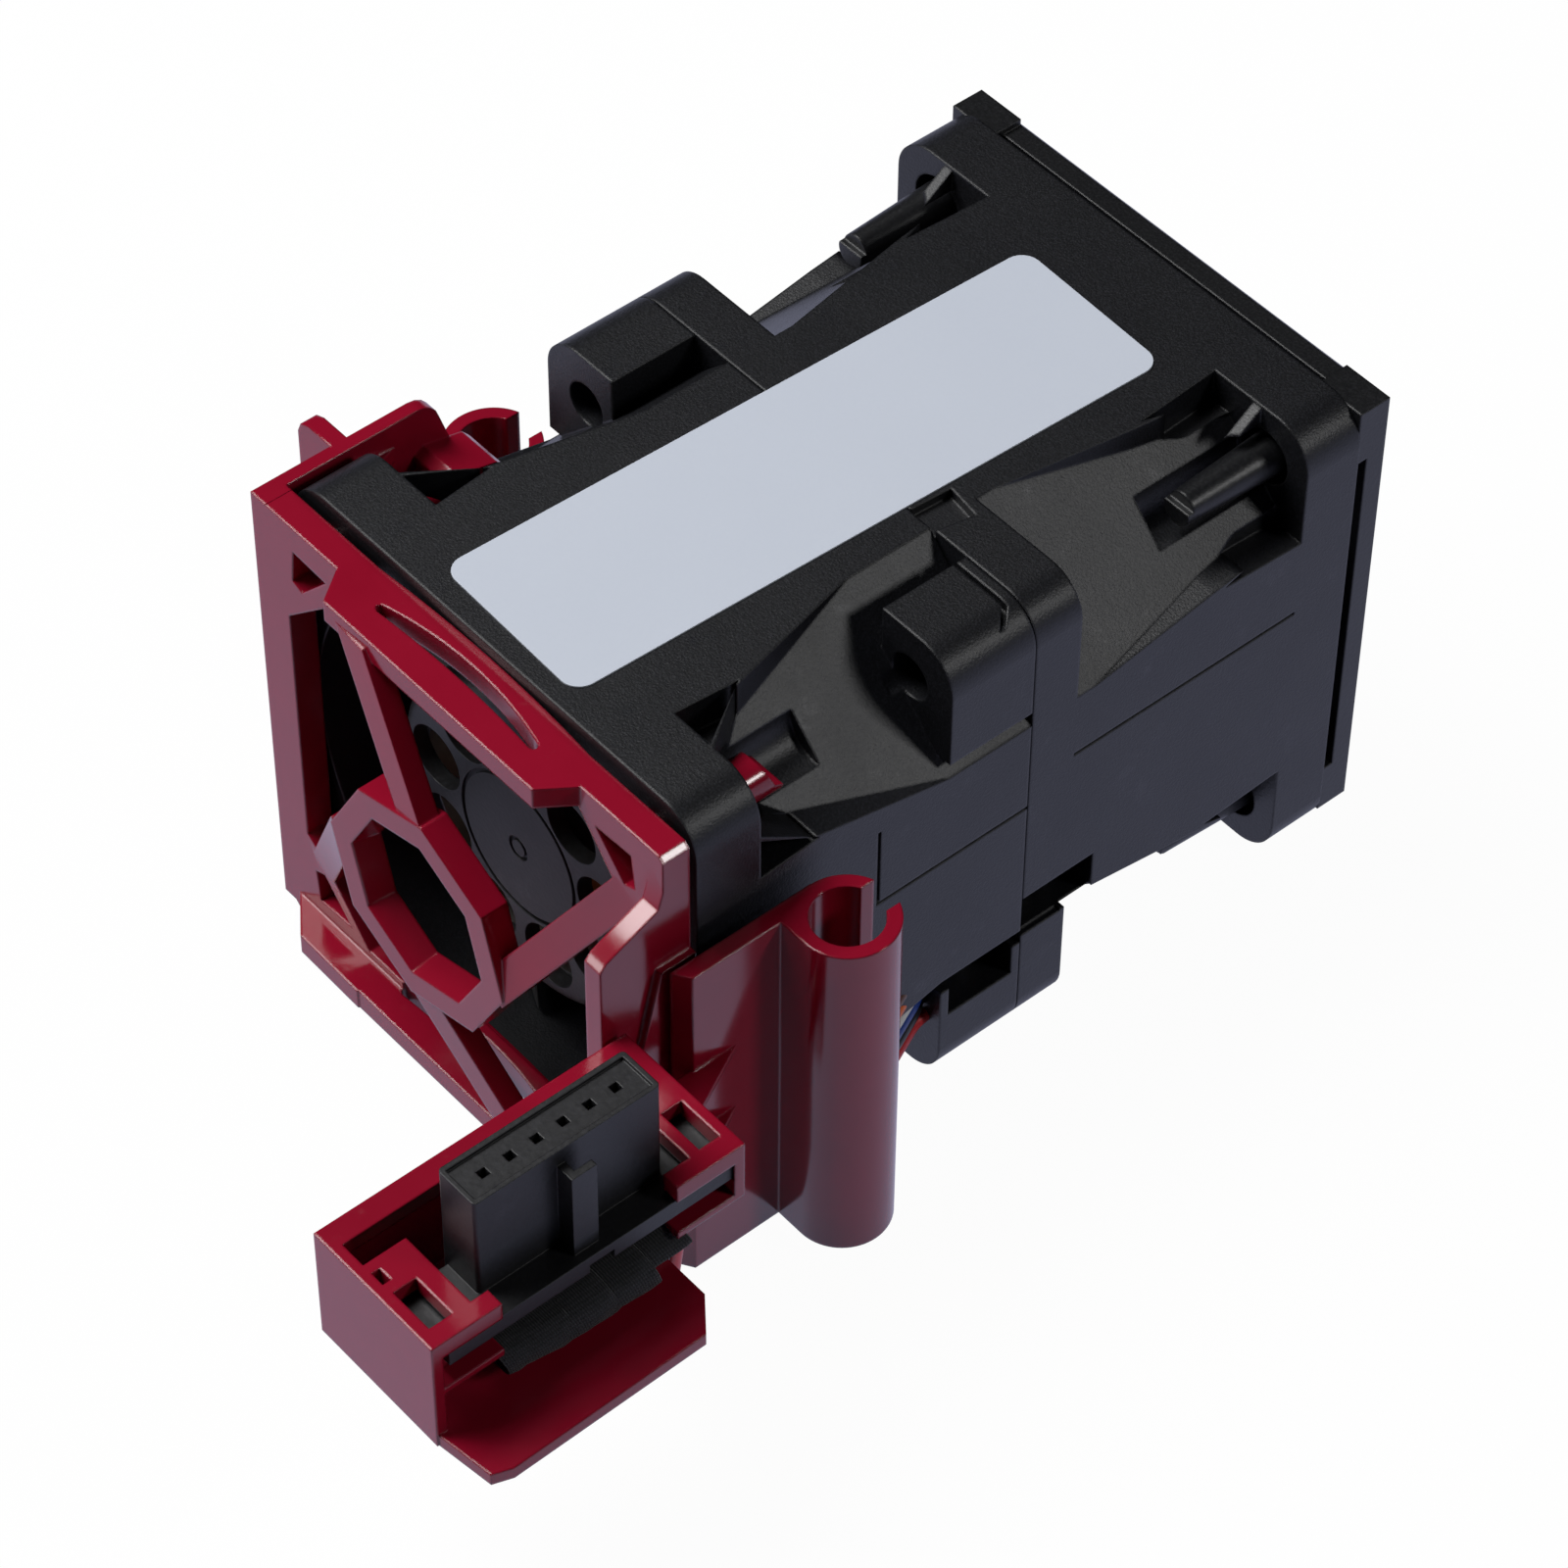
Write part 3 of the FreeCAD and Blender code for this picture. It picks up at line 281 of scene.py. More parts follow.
for name, shade in leadColours.items():
    lighter = tuple(c * 1.25 + 0.01 for c in shade)
    finishes["lead_" + name] = plainPlastic("leadSkin_" + name, shade, lighter, rough=0.36, edge=0.05,
                                              grain=0.6, depth=0.01)

motorFinish = {"impeller": "impeller", "rotor_yoke": "yoke", "magnet_ring": "magnet", "hub_bush": "brass",
               "shaft": "shaft", "shaft_clip": "spring", "bearing_outers": "bearing",
               "bearing_inners": "bearing", "preload_spring": "spring", "bearing_tube": "brass",
               "stator_core": "lamination", "stator_insulator": "insulator", "coils": "coil",
               "circuit_board": "board"}
wear = {"carrier": "carrier", "front_housing": "fan", "rear_housing": "fan", "outlet_plate": "plate",
        "label": "label", "connector_housing": "connector", "contacts": "contact", "tape_wrap": "tape"}
for side in ("front_", "rear_"):
    wear.update({side + node: finish for node, finish in motorFinish.items()})
wear.update({"lead_" + name: "lead_" + name for name in leadColours})


def dress(piece, finish):
    piece.data.materials.clear()
    piece.data.materials.append(finishes[finish])


for node, finish in wear.items():
    dress(nodes[node], finish)
print("finishes on", len(wear), "nodes")

# millimetres, in the frame's own axes; outlines are lists of corners
carrier = {
    "half": 20.0, "back": -0.5, "front": -2.6, "top": 19.0, "low": -19.7, "postOut": 19.95, "rimChamfer": 0.4,
    "barFront": -5.0, "barReach": 10.4, "barSlope": 1.8, "barBow": 0.45, "barThick": 1.7,
    "slotHalf": 7.6, "slotBulge": 1.0, "slotNear": -2.95, "slotFar": -2.3,
    "opening": [(-11.6, 17.4), (-13.8, 14.1), (-17.9, 10.2), (-17.9, -10.8), (-16.1, -12.1), (-11.6, -17.4),
                (11.6, -17.4), (16.4, -11.5), (17.9, -10.2), (17.9, 10.2), (16.4, 11.5), (11.6, 17.4)],
    "pocket": [(13.5, 16.6), (16.9, 16.8), (17.2, 14.0), (16.2, 13.6)], "pocketFloor": 0.6,
    "ringFront": -6.8, "ringBack": -4.7, "ringTurn": -7.0, "ringIn": 6.75, "ringOut": 8.9, "ringDraft": 0.52,
    "barSpoke": ((0.2, 7.6), (-8.3, 18.9)), "rimSpoke": ((7.7, -1.0), (16.3, 12.9)),
    "spokeWide": 2.5, "spokeDeep": 1.6,
    "sleeveOut": 3.45, "sleeveIn": 2.45, "sleeveSlot": 2.4,
    "leftSleeve": (-23.75, 18.7), "leftLow": -18.3, "leftTop": 8.0,
    "wallOut": -21.15, "wallIn": -20.15, "wallRound": 1.8, "wallReach": 11.8, "wallEnd": 14.2,
    "finReach": -24.7, "finFront": 3.8, "finBack": 5.1, "snapLow": 15.7, "snapTop": 17.0,
    "shelf": [(9.6, 12.6), (14.2, 11.5), (14.2, 14.2), (13.6, 14.9), (10.4, 15.7), (9.6, 15.2)],
    "shelfIn": -16.5,
    "rightSleeve": (24.6, 8.2), "sideLow": -18.8, "sideTop": 10.0, "sideIn": 21.1, "sideOut": 22.35,
    "postThick": 1.5, "postFoot": -7.6, "slabOut": 20.5,
    "bridgeFront": -2.5, "bridgeTop": 8.8, "bridgeGap": (-15.15, -8.25),
    "gussetOut": 26.0, "gussetLevels": (1.1, -4.9), "gussetThick": 0.55,
    "boxIn": 20.4, "boxOut": 31.75, "boxFar": -30.1, "boxNear": -6.1, "boxTop": 6.0, "boxLow": -3.5,
    "backWall": 1.1, "endWall": 0.8, "rimThick": 1.2, "trayThick": 1.0,
    "armWide": 1.35, "armLong": 5.3, "armLevels": ((4.6, 6.0), (1.05, 1.6)), "footOut": 26.0, "footLow": -5.45,
    "pinAt": 16.0, "pinR": 1.6, "pinEnd": 9.0,
}


def held(name, build):  # an object round a finished bmesh, sizes in millimetres while it is being shaped
    bmesh.ops.recalc_face_normals(build, faces=build.faces)
    mesh = bpy.data.meshes.new(name)
    build.to_mesh(mesh)
    build.free()
    piece = bpy.data.objects.new(name, mesh)
    bpy.context.collection.objects.link(piece)
    return piece


def prism(axis, ring, low, high):  # the ring's two numbers are the other two directions, in X, Y, Z order
    place = {"x": lambda a, b, c: (c, a, b), "y": lambda a, b, c: (a, c, b),
             "z": lambda a, b, c: (a, b, c)}[axis]
    build = bmesh.new()
    near, far = [[build.verts.new(place(a, b, level)) for a, b in ring] for level in (low, high)]
    for i, start in enumerate(near):
        j = (i + 1) % len(ring)
        build.faces.new([start, near[j], far[j], far[i]])
    build.faces.new(near)
    build.faces.new(far)
    return held("blank", build)


def block(x0, x1, y0, y1, z0, z1):
    return prism("z", [(x0, y0), (x1, y0), (x1, y1), (x0, y1)], z0, z1)


def circle(r, x=0.0, y=0.0, count=56):
    return [(x + r * math.cos(math.tau * i / count), y + r * math.sin(math.tau * i / count))
            for i in range(count)]


def shaped(kind, body, others):  # kind is UNION, DIFFERENCE or INTERSECT
    for other in others:
        step = body.modifiers.new("step", "BOOLEAN")
        step.operation = kind
        step.solver = "EXACT"
        step.object = other
        result = bpy.data.meshes.new_from_object(body.evaluated_get(bpy.context.evaluated_depsgraph_get()))
        body.modifiers.clear()
        old = body.data
        body.data = result
        bpy.data.meshes.remove(old)
        bpy.data.objects.remove(other)
    return body


def turnedCopy(body, angle):
    copy = bpy.data.objects.new("blank", body.data.copy())
    copy.data.transform(Matrix.Rotation(math.radians(angle), 4, "Y"))
    bpy.context.collection.objects.link(copy)
    return copy


def octagon(r):
    return [(r * math.cos(math.radians(a)), r * math.sin(math.radians(a)))
            for a in (carrier["ringTurn"] + 45 * i for i in range(8))]


def guardRing():
    ring = prism("y", octagon(carrier["ringOut"]), carrier["ringFront"], carrier["ringBack"])
    build = bmesh.new()
    levels = ((carrier["ringIn"] + 0.02, carrier["ringFront"] - 0.1),
              (carrier["ringIn"] - carrier["ringDraft"], carrier["ringBack"] + 0.1))
    near, far = [[build.verts.new((x, y, z)) for x, z in octagon(r)] for r, y in levels]
    for i in range(8):
        build.faces.new([near[i], near[i - 7], far[i - 7], far[i]])
    build.faces.new(near)
    build.faces.new(far)
    return shaped("DIFFERENCE", ring, [held("blank", build)])


def spoke(start, end, front, endFront):  # slopes from the ring's level to the rim's
    dx, dz = end[0] - start[0], end[1] - start[1]
    run = math.hypot(dx, dz)
    w, d = carrier["spokeWide"] / 2, carrier["spokeDeep"]
    bar = prism("x", [(front, 0), (endFront, run), (endFront + d, run), (front + d, 0)], -w, w)
    turn = Matrix.Rotation(math.atan2(dx, dz), 4, "Y")
    bar.data.transform(Matrix.Translation((start[0], 0, start[1])) @ turn)
    return bar


def arcPoints(reach, bulge, base, count=24):  # a shallow arc from -reach to reach that rises by bulge
    r = (reach ** 2 + bulge ** 2) / (2 * bulge)
    spots = [reach * (2 * i / count - 1) for i in range(count + 1)]
    return [(x, base + math.sqrt(r * r - x * x) - (r - bulge)) for x in spots]


def guardBar(low):
    reach, front, back, barFront = [carrier[key] for key in ("barReach", "front", "back", "barFront")]
    wide = reach + carrier["barSlope"]
    ring = [(-wide, front + 0.1), (-reach, barFront), (reach, barFront), (wide, front + 0.1), (wide, back)]
    ring += arcPoints(reach, carrier["barBow"], back)[::-1] + [(-wide, back)]
    return prism("z", ring, low, low + carrier["barThick"])


def slotOutline():  # a crescent of nearly even width with rounded ends
    reach, bulge, near, far = [carrier[key] for key in ("slotHalf", "slotBulge", "slotNear", "slotFar")]
    ends = [(reach + 0.26, far - 0.12), (reach + 0.36, (near + far) / 2), (reach + 0.26, near + 0.12)]
    mirrored = [(-x, y) for x, y in ends[::-1]]
    return arcPoints(reach, bulge, far) + ends + arcPoints(reach, bulge * 0.35, near)[::-1] + mirrored


def guard():
    half, front, back, top, low = [carrier[key] for key in ("half", "front", "back", "top", "low")]
    out, cut, thick, barFront = [carrier[key] for key in ("postOut", "rimChamfer", "barThick", "barFront")]
    rim = prism("y", [(-out + cut, low), (out - cut, low), (out, low + cut), (out, top - cut), (out - cut, top),
                      (-out + cut, top), (-out, top - cut), (-out, low + cut)], front, back)
    opening = prism("y", carrier["opening"], front - 1, back + 1)
    floor = back - carrier["pocketFloor"]
    pockets = [prism("y", [(x * sx, z * sz) for x, z in carrier["pocket"]], front - 1, floor)
               for sx in (1, -1) for sz in (1, -1)]
    shaped("DIFFERENCE", rim, [opening] + pockets)
    spokes = [spoke(*carrier["barSpoke"], carrier["ringFront"], barFront),
              spoke(*carrier["rimSpoke"], carrier["ringFront"], front)]
    spokes += [turnedCopy(bar, 180) for bar in spokes]
    for bar in spokes:
        shaped("INTERSECT", bar, [block(-half, half, -half, half, low + thick / 2, top - thick / 2)])
        shaped("DIFFERENCE", bar, [prism("y", octagon(carrier["ringIn"] - 0.2), -half, half)])
    nub = prism("z", [(-16.2, barFront), (-9.8, barFront - 0.1), (-8.6, barFront + 1.2), (-8.6, front),
                      (-19.4, front)], low, low + thick)
    levels = (top - thick, low)
    shaped("UNION", rim, [guardBar(level) for level in levels] + [guardRing()] + spokes + [nub])
    slots = [prism("z", slotOutline(), level - 1, level + thick + 1) for level in levels]
    return shaped("DIFFERENCE", rim, slots)


def sleeve(x, y, low, high):
    body = prism("z", circle(carrier["sleeveOut"], x, y, 72), low, high)
    slot = carrier["sleeveSlot"] / 2
    return shaped("DIFFERENCE", body, [prism("z", circle(carrier["sleeveIn"], x, y), low - 1, high + 1),
                                       block(x - slot, x + slot, y, y + 4.5, low - 1, high + 1)])


def leftSide():
    front, back, top, low = [carrier[key] for key in ("front", "back", "top", "low")]
    wallOut, wallIn, end, fin = [carrier[key] for key in ("wallOut", "wallIn", "wallEnd", "finReach")]
    x, y = carrier["leftSleeve"]
    foot, head, r = carrier["leftLow"], carrier["leftTop"], carrier["wallRound"]
    corner = [(carrier["wallReach"] - r + r * math.sin(a), top - r + r * math.cos(a))
              for a in (0, 0.35, 0.7, 1.05, 1.4)]
    outline = [(front, low + 0.4), (front, top)] + corner + [(end, head + 2), (end, low + 0.4)]
    wall = prism("x", outline, wallOut, wallIn)
    tie = block(wallOut, -19.6, front, back, low + 0.4, top)
    finPlate = prism("y", [(fin, foot), (wallOut + 0.1, foot), (wallOut + 0.1, top), (fin + 1.2, top),
                           (fin + 0.35, top - 0.35), (fin, top - 1.2)], carrier["finFront"], carrier["finBack"])
    shelf = prism("x", carrier["shelf"], wallIn - 0.1, carrier["shelfIn"])
    shaped("DIFFERENCE", shelf, [prism("y", [(-20.0, 9.9), (-9.9, 20.0), (-9.9, 9.9)], 8.0, 15.0)])
    snap = prism("z", [(wallIn - 0.1, 5.4), (wallIn + 1.0, 5.4), (wallIn - 0.1, 8.4)],
                 carrier["snapLow"], carrier["snapTop"])
    web = prism("z", [(wallOut, 13.6), (wallIn, 13.6), (wallIn, 16.2), (-21.6, 17.0), (x - 0.6, 16.0)],
                foot, head)
    shaped("DIFFERENCE", web, [prism("z", circle(carrier["sleeveIn"], x, y), -19.0, 20.0)])
    return [wall, tie, finPlate, shelf, snap, web, sleeve(x, y, foot, head)]


def rightSide():
    front, back, low, top, out = [carrier[key] for key in ("front", "back", "sideLow", "sideTop", "postOut")]
    sideIn, sideOut, foot, boxLow = [carrier[key] for key in ("sideIn", "sideOut", "postFoot", "boxLow")]
    x, y = carrier["rightSleeve"]
    post = prism("x", [(back, 18.4), (front, 18.4), (front, 16.0), (-3.0, 14.7), (-7.1, 12.8), (foot, 12.2),
                       (foot, low), (back, low)], out - carrier["postThick"], out)
    slab = prism("x", [(back, top - 0.5), (-3.3, top - 0.5), (-4.7, 3.8), (foot, -1.0), (foot, boxLow),
                       (back, boxLow)], out - 0.1, carrier["slabOut"])
    start = carrier["bridgeFront"]
    bridge = shaped("DIFFERENCE", block(out - 0.1, sideIn + 0.1, start, back, low, carrier["bridgeTop"]),
                    [block(out, sideIn + 0.2, start - 1, back + 1, *carrier["bridgeGap"])])
    flat = y - carrier["sleeveOut"]
    web = prism("z", [(sideIn, -3.1), (sideOut, -2.3), (sideOut, flat), (x, flat), (x, y), (sideIn, y)],
                low, top)
    shaped("DIFFERENCE", web, [prism("z", circle(carrier["sleeveIn"], x, y), low - 1, top + 1)])
    near, reach = carrier["boxNear"], carrier["gussetOut"]
    ring = [(sideOut - 0.2, 1.5), (sideOut - 0.2, near - 0.8), (reach, near - 0.8), (reach, near)]
    gussets = [prism("z", ring, z - carrier["gussetThick"], z) for z in carrier["gussetLevels"]]
    return [post, slab, bridge, web, sleeve(x, y, low, top)] + gussets


def connectorBox():
    near, far, low, top = [carrier[key] for key in ("boxNear", "boxFar", "boxLow", "boxTop")]
    inner, outer, wall = [carrier[key] for key in ("boxIn", "boxOut", "endWall")]
    back = block(inner, inner + carrier["backWall"], far, near, low, top)
    farEnd = prism("y", [(inner, low + 1.6), (inner + 0.8, low), (outer, low), (outer, top), (inner, top)],
                   far, far + wall)
    nearEnd = block(inner, outer, near - wall, near, 1.05, top)
    nearFoot = block(inner, carrier["footOut"], near - wall, near, carrier["footLow"], top)
    tray = prism("z", [(inner, far), (outer - 0.9, far), (36.0, far + 0.7), (36.5, far + 2.1), (36.3, -13.0),
                       (33.9, -11.1), (inner, -11.1)], low, low + carrier["trayThick"])
    z0 = top - carrier["rimThick"]
    rims = [block(inner, inner + 1.8, far, near, z0, top), block(inner + 3.8, outer, far, far + 4.0, z0, top),
            block(inner, outer, near - 3.3, near, z0, top)]
    windows = [(26.95, far + 0.9, 3.6, 1.7), (26.7, near - 2.4, 3.6, 1.7), (25.0, far + 0.8, 1.1, 0.6)]
    for rim in rims:
        shaped("DIFFERENCE", rim, [block(x, x + w, y, y + d, 1.6, top + 1) for x, y, w, d in windows])
    armIn, armLong = outer - carrier["armWide"], carrier["armLong"]
    arms = [block(armIn, outer, *run, *level) for level in carrier["armLevels"]
            for run in ((far, far + armLong), (near - armLong, near))]
    body = shaped("UNION", back, [farEnd, nearEnd, nearFoot, tray] + rims + arms)
    seat = block(25.75, 31.65, -28.75, -6.65, 3.0, 4.55)
    throat = block(25.75, 29.55, -24.9, -10.5, 0, top + 1)
    return shaped("DIFFERENCE", body, [seat, throat])


def framePin(x, z, side):  # side is 1 above the axis and -1 below it
    pin = prism("y", circle(carrier["pinR"], x, z, 40), carrier["back"] - 0.2, carrier["pinEnd"])
    tip = prism("x", [(7.5, z + 2 * side), (12, z + 2 * side), (12, z - 2 * side), (8.3, z)], x - 3, x + 3)
    return shaped("DIFFERENCE", pin, [tip])


def clipInCarrier():
    at = carrier["pinAt"]
    pins = [framePin(at * sx, at * sz, sz) for sx in (1, -1) for sz in (1, -1)]
    body = shaped("UNION", guard(), leftSide() + rightSide() + [connectorBox()] + pins)
    body.data.transform(Matrix.Scale(mm, 4))
    body.name = body.data.name = "clipInCarrier"
    return smoothed(body, 28)


def smoothed(piece, angle):  # flat faces stay crisp, round ones turn smooth
    piece.data.shade_smooth()
    piece.data.set_sharp_from_angle(angle=math.radians(angle))
    return piece


carrierPiece = clipInCarrier()
dress(carrierPiece, "carrier")
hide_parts("carrier")
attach(carrierPiece, "frame")
print("carrier shaped:", len(carrierPiece.data.polygons), "faces")


# millimetres; "pins" gives the socket that each lead of "order" ends in
leads = {
    "order": ["brown", "orange", "white", "blue", "black", "red"], "pins": [0, 4, 5, 2, 3, 1],
    "r": 0.5, "step": 1.1, "bend": 1.3, "startR": 5.6, "startStep": 1.6, "boardY": 22.7, "joint": 27.7,
    "belowJoint": 1.5, "deepX": 16.9, "deepY": 21.8, "topZ": -8.95, "wallX": 18.6, "leaveY": 19.6,
    "sideX": 20.57, "meetY": 15.2, "turnY": -7.7, "riseX": 24.9, "entryX": 27.1, "entryZ": 0.75,
    "midY": -17.7, "pitch": 2.0, "crimpZ": 5.8,
}


def leadPoints(i):
    rear = i < 3
    layer = 2 - i if rear else i - 3
    start = (leads["startR"] + leads["startStep"] * layer) / math.sqrt(2)
    depth = leads["joint"] - leads["belowJoint"] - leads["step"] * layer
    board = leads["boardY"]
    if rear:
        depth, board = 2 * leads["joint"] - depth, 2 * leads["joint"] - board
    z = leads["topZ"] - leads["step"] * i
    row, column = divmod(leads["pins"][i], 2)
    across, drop = leads["step"] * column, leads["step"] * row
    inX, inZ = leads["entryX"] + across, leads["entryZ"] - drop
    turn, pinY = leads["turnY"] - drop, leads["midY"] + leads["pitch"] * (2.5 - leads["pins"][i])
    wallX, sideX = leads["wallX"], leads["sideX"]
    deep = leads["deepX"] if i < 5 else wallX - 0.2  # the last lead keeps to the wall and shows
    spots = [(start, board, -start), (start, depth, -start), (-z, depth, z), (deep, depth, z),
             (deep, leads["deepY"], z), (wallX, leads["leaveY"], z), (sideX, leads["meetY"], z),
             (sideX, turn, z), (leads["riseX"] + across, turn, z), (inX, turn, inZ), (inX, pinY, inZ),
             (inX, pinY, leads["crimpZ"])]
    return [Vector(spot) for spot in spots]


def leadPiece(i):
    spots = leadPoints(i)
    line = spots[:1]
    for before, corner, after in zip(spots, spots[1:], spots[2:]):  # a point each side keeps the runs straight
        for side in (before, after):
            gap = side - corner
            near = corner + gap * min(0.45, leads["bend"] / gap.length)
            line += [near, corner] if side is before else [near]
    line.append(spots[-1])
    curve = bpy.data.curves.new("lead", "CURVE")
    curve.dimensions = "3D"
    spline = curve.splines.new("NURBS")
    spline.points.add(len(line) - 1)
    for point, spot in zip(spline.points, line):
        point.co = (*spot, 1)
    spline.order_u = 3
    spline.use_endpoint_u = True
    spline.resolution_u = 6
    curve.bevel_depth = leads["r"]
    curve.bevel_resolution = 6
    curve.use_fill_caps = True
    drawn = bpy.data.objects.new("leadLine", curve)
    bpy.context.collection.objects.link(drawn)
    mesh = bpy.data.meshes.new_from_object(drawn.evaluated_get(bpy.context.evaluated_depsgraph_get()))
    bpy.data.objects.remove(drawn)
    mesh.transform(Matrix.Scale(mm, 4))
    colour = leads["order"][i]
    piece = bpy.data.objects.new("lead" + colour.capitalize(), mesh)
    bpy.context.collection.objects.link(piece)
    smoothed(piece, 60)
    dress(piece, "lead_" + colour)
    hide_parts("lead_" + colour)
    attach(piece, "frame")


for i in range(len(leads["order"])):
    leadPiece(i)
print("leads drawn:", len(leads["order"]))

tape = {"Turns": 3.6, "Width": 6.2, "Thickness": 0.36, "Lift": 0.34, "Half Across": 3.45, "Half High": 1.95,
        "Near": -13.3, "Far": -24.0, "Crumple": 0.75}
tapeSetting = {"centre": (28.85, 0.0, -0.36), "lengthwise": 420, "crosswise": 25, "grain": 1100.0,
               "shut": 0.012, "taper": 0.16, "weave": 2.6, "seam": 0.002}


class Rig(Bench):  # the same bench for a shape's nodes
    def __init__(self, name, sizes):
        self.tree = bpy.data.node_groups.new(name, "GeometryNodeTree")
        self.ends = {}
        for label in sizes:
            socket = self.tree.interface.new_socket(label, in_out="INPUT", socket_type="NodeSocketFloat")
            self.ends[label] = socket.identifier
        self.tree.interface.new_socket("Geometry", in_out="OUTPUT", socket_type="NodeSocketGeometry")
        self.given = self.tree.nodes.new("NodeGroupInput")

    def size(self, label):
        return Level(self, self.given.outputs[label])

    def sine(self, value, kind="SINE"):
        return self.make("ShaderNodeMath", {"operation": kind}, {0: value})

    def build(self, name, geometry, sizes, finish):
        geometry = self.make("GeometryNodeRealizeInstances", {}, {0: geometry})
        geometry = self.make("GeometryNodeSetMaterial", {},
                             {"Geometry": geometry, "Material": finishes[finish]})
        end = self.tree.nodes.new("NodeGroupOutput")
        self.tree.links.new(geometry.socket, end.inputs[0])
        piece = bpy.data.objects.new(name, bpy.data.meshes.new(name))
        bpy.context.collection.objects.link(piece)
        step = piece.modifiers.new("rig", "NODES")
        step.node_group = self.tree
        for label, value in sizes.items():
            step[self.ends[label]] = float(value)
        mesh = bpy.data.meshes.new_from_object(piece.evaluated_get(bpy.context.evaluated_depsgraph_get()))
        piece.modifiers.clear()
        piece.data = mesh
        mesh.name = name
        return piece


def tapePiece():  # cloth tape wound round the leads, each turn over the edge of the last
    rig = Rig("tapeWinding", tape)
    sheet = rig.make("GeometryNodeMeshGrid", {}, {"Size X": 1.0, "Size Y": 1.0,
                                                  "Vertices X": tapeSetting["lengthwise"],
                                                  "Vertices Y": tapeSetting["crosswise"]})
    spot = rig.make("GeometryNodeInputPosition")
    along = rig.make("ShaderNodeSeparateXYZ", {}, {0: spot}, "X") + 0.5
    around = (rig.make("ShaderNodeSeparateXYZ", {}, {0: spot}, "Y") + 0.5) * math.tau
    turn = along * rig.size("Turns") * math.tau
    shut = rig.ramp(along, 0.0, tapeSetting["shut"]) * rig.ramp(along, 1.0, 1.0 - tapeSetting["shut"])
    edge = rig.sine(around, "COSINE") * shut
    unrolled = rig.make("ShaderNodeCombineXYZ", {}, {0: turn, 1: edge, 2: 0.0})
    folds = rig.noise(tapeSetting["grain"], 3.0, 0.6, unrolled) - 0.5
    swell = 1.0 - ((along * 2.0 - 1.0) ** 4) * tapeSetting["taper"]
    proud = rig.sine(around) * shut * rig.size("Thickness") * 0.5 + edge * rig.size("Lift") * 0.5
    proud = proud + folds * rig.size("Crumple")
    x = (rig.size("Half Across") * swell + proud) * rig.sine(turn, "COSINE")
    z = (rig.size("Half High") * swell + proud * 0.6) * rig.sine(turn)
    y = rig.size("Near") + (rig.size("Far") - rig.size("Near")) * along
    y = y + edge * rig.size("Width") * 0.5 * (1.0 - along * 0.2)
    place = rig.make("ShaderNodeCombineXYZ", {}, {0: x, 1: y, 2: z})
    weave = rig.make("ShaderNodeCombineXYZ", {}, {0: turn * tapeSetting["weave"],
                                                  1: edge * rig.size("Width") * 0.5, 2: 0.0})
    marked = rig.make("GeometryNodeStoreNamedAttribute", {"data_type": "FLOAT2", "domain": "CORNER"},
                      {"Geometry": sheet, "Name": "weave", "Value": weave})
    bent = rig.make("GeometryNodeSetPosition", {}, {"Geometry": marked, "Position": place})
    shutSeam = rig.make("GeometryNodeMergeByDistance", {}, {"Geometry": bent, "Distance": tapeSetting["seam"]})
    piece = rig.build("tapeBundle", shutSeam, tape, "tape")
    piece.data.transform(Matrix.Translation(Vector(tapeSetting["centre"]) * mm) @ Matrix.Scale(mm, 4))
    build = bmesh.new()
    build.from_mesh(piece.data)
    bmesh.ops.recalc_face_normals(build, faces=build.faces)
    build.to_mesh(piece.data)
    build.free()
    piece.data.shade_smooth()
    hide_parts("tape_wrap")
    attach(piece, "frame")
    print("tape wound:", len(piece.data.polygons), "faces")


tapePiece()

studio = {"floorSize": 3.0, "floorGap": 0.0002, "air": 0.07, "paper": 0.42, "glow": 0.93, "white": 1.04,
          "bounce": (0.50, 0.52, 0.72)}
# each lamp: where it hangs and what it looks at in metres, its two sizes, and its power in watts
lamps = {"key": ((-0.42, -0.20, 0.80), (0, 0.02, 0), (0.5, 0.5), 8.4),
         "rim": ((0.60, 0.36, 0.43), (0.02, 0, 0), (0.14, 0.14), 1.25),
         "strip": ((-0.40, -0.55, 0.32), (0, 0.0, 0), (0.35, 0.20), 1.4)}
view = {"place": (0.19555, -0.14490, 0.27367), "turn": (42.359, -0.343, 49.522), "lens": 130.4, "sensor": 36.0}


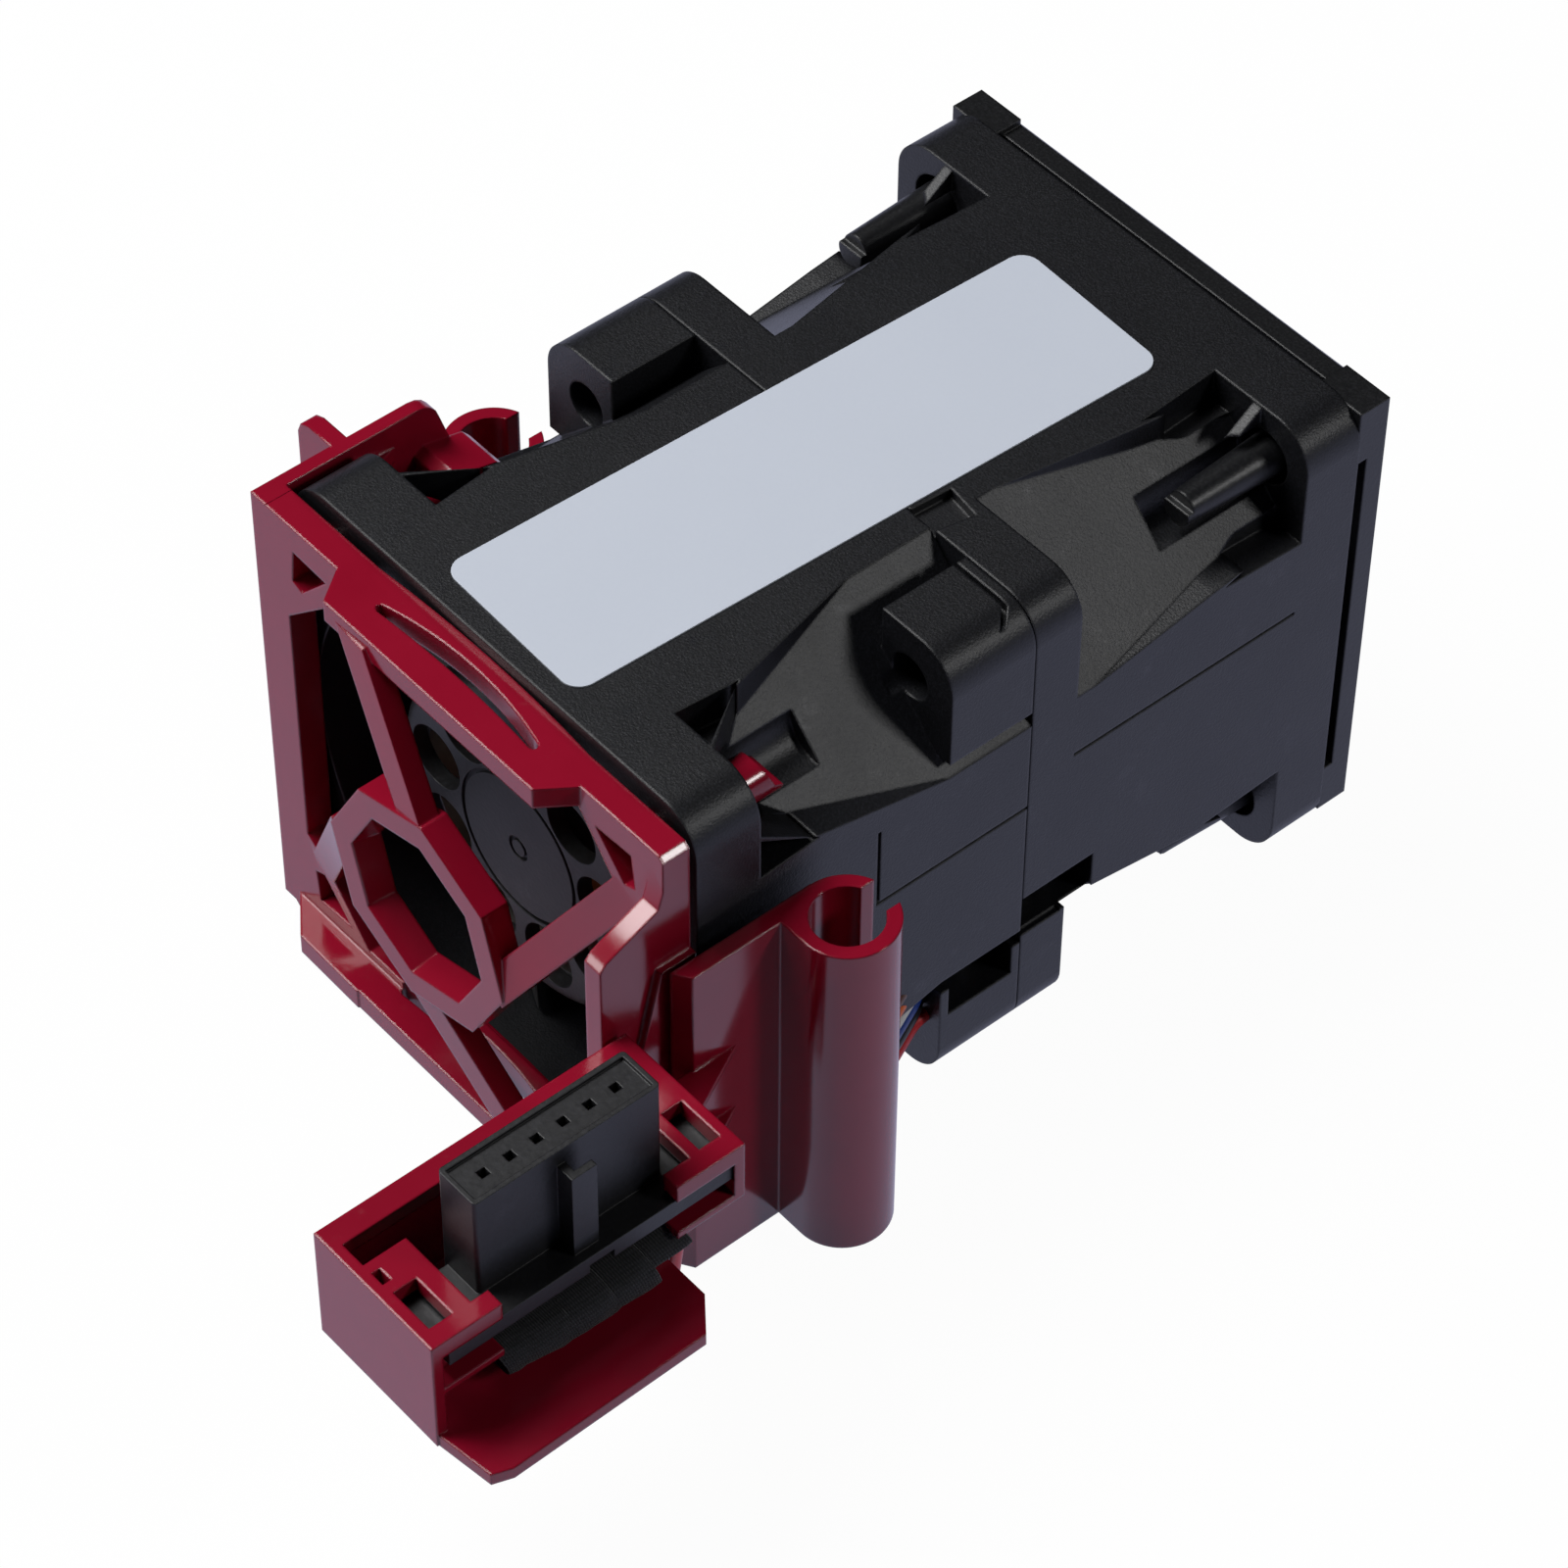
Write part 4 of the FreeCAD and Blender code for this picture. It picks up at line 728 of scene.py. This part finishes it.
def paleFloor():
    mesh = bpy.data.meshes.new("floor")
    reach = studio["floorSize"]
    low = cadLow.z - studio["floorGap"]
    corners = [(-reach, -reach, low), (reach, -reach, low), (reach, reach, low), (-reach, reach, low)]
    mesh.from_pydata(corners, [], [(0, 1, 2, 3)])
    floor = bpy.data.objects.new("floor", mesh)
    bpy.context.collection.objects.link(floor)
    b = Bench("palePaper")
    camera, glossy, clear = [b.make("ShaderNodeLightPath", out="Is %s Ray" % kind)
                             for kind in ("Camera", "Glossy", "Transmission")]
    seen = b.sum("MAXIMUM", b.sum("MAXIMUM", camera, glossy), clear) * studio["glow"]
    fibre = b.noise(0.6, 3.0)
    shade = b.blend(fibre, (studio["paper"] - 0.01,) * 3, (studio["paper"] + 0.01,) * 3)
    paper = b.make("ShaderNodeBsdfDiffuse", {}, {"Color": shade})
    tint = b.blend(glossy, (1, 1, 1), studio["bounce"])
    glow = b.make("ShaderNodeEmission", {}, {"Color": tint, "Strength": studio["white"]})
    mesh.materials.append(b.close(b.make("ShaderNodeMixShader", {}, {0: seen, 1: paper, 2: glow})))


def softLight(name, spot, aim, size, power):
    data = bpy.data.lights.new(name, "AREA")
    data.shape = "RECTANGLE"
    data.size, data.size_y = size
    data.energy = power
    lamp = bpy.data.objects.new(name, data)
    lamp.location = spot
    lamp.rotation_euler = (Vector(aim) - Vector(spot)).to_track_quat("-Z", "Y").to_euler()
    bpy.context.collection.objects.link(lamp)


def setWorld():  # white where the camera looks, dim air round the lamps elsewhere
    world = bpy.data.worlds.new("studioAir")
    world.use_nodes = True
    links = world.node_tree.links
    ray = world.node_tree.nodes.new("ShaderNodeLightPath")
    level = world.node_tree.nodes.new("ShaderNodeMapRange")
    level.inputs["To Min"].default_value = studio["air"]
    level.inputs["To Max"].default_value = 1.0
    links.new(ray.outputs["Is Camera Ray"], level.inputs["Value"])
    links.new(level.outputs[0], world.node_tree.nodes["Background"].inputs["Strength"])
    bpy.context.scene.world = world


def setCamera():
    data = bpy.data.cameras.new("camera")
    data.lens = view["lens"]
    data.sensor_width = view["sensor"]
    data.clip_start = 0.01
    camera = bpy.data.objects.new("camera", data)
    camera.location = view["place"]
    camera.rotation_euler = Euler([math.radians(a) for a in view["turn"]], "XYZ")
    bpy.context.collection.objects.link(camera)
    bpy.context.scene.camera = camera


paleFloor()
for name, lamp in lamps.items():
    softLight(name, *lamp)
setWorld()
setCamera()
bpy.context.scene.view_settings.view_transform = "Standard"
print("studio lit:", len(lamps), "lamps")
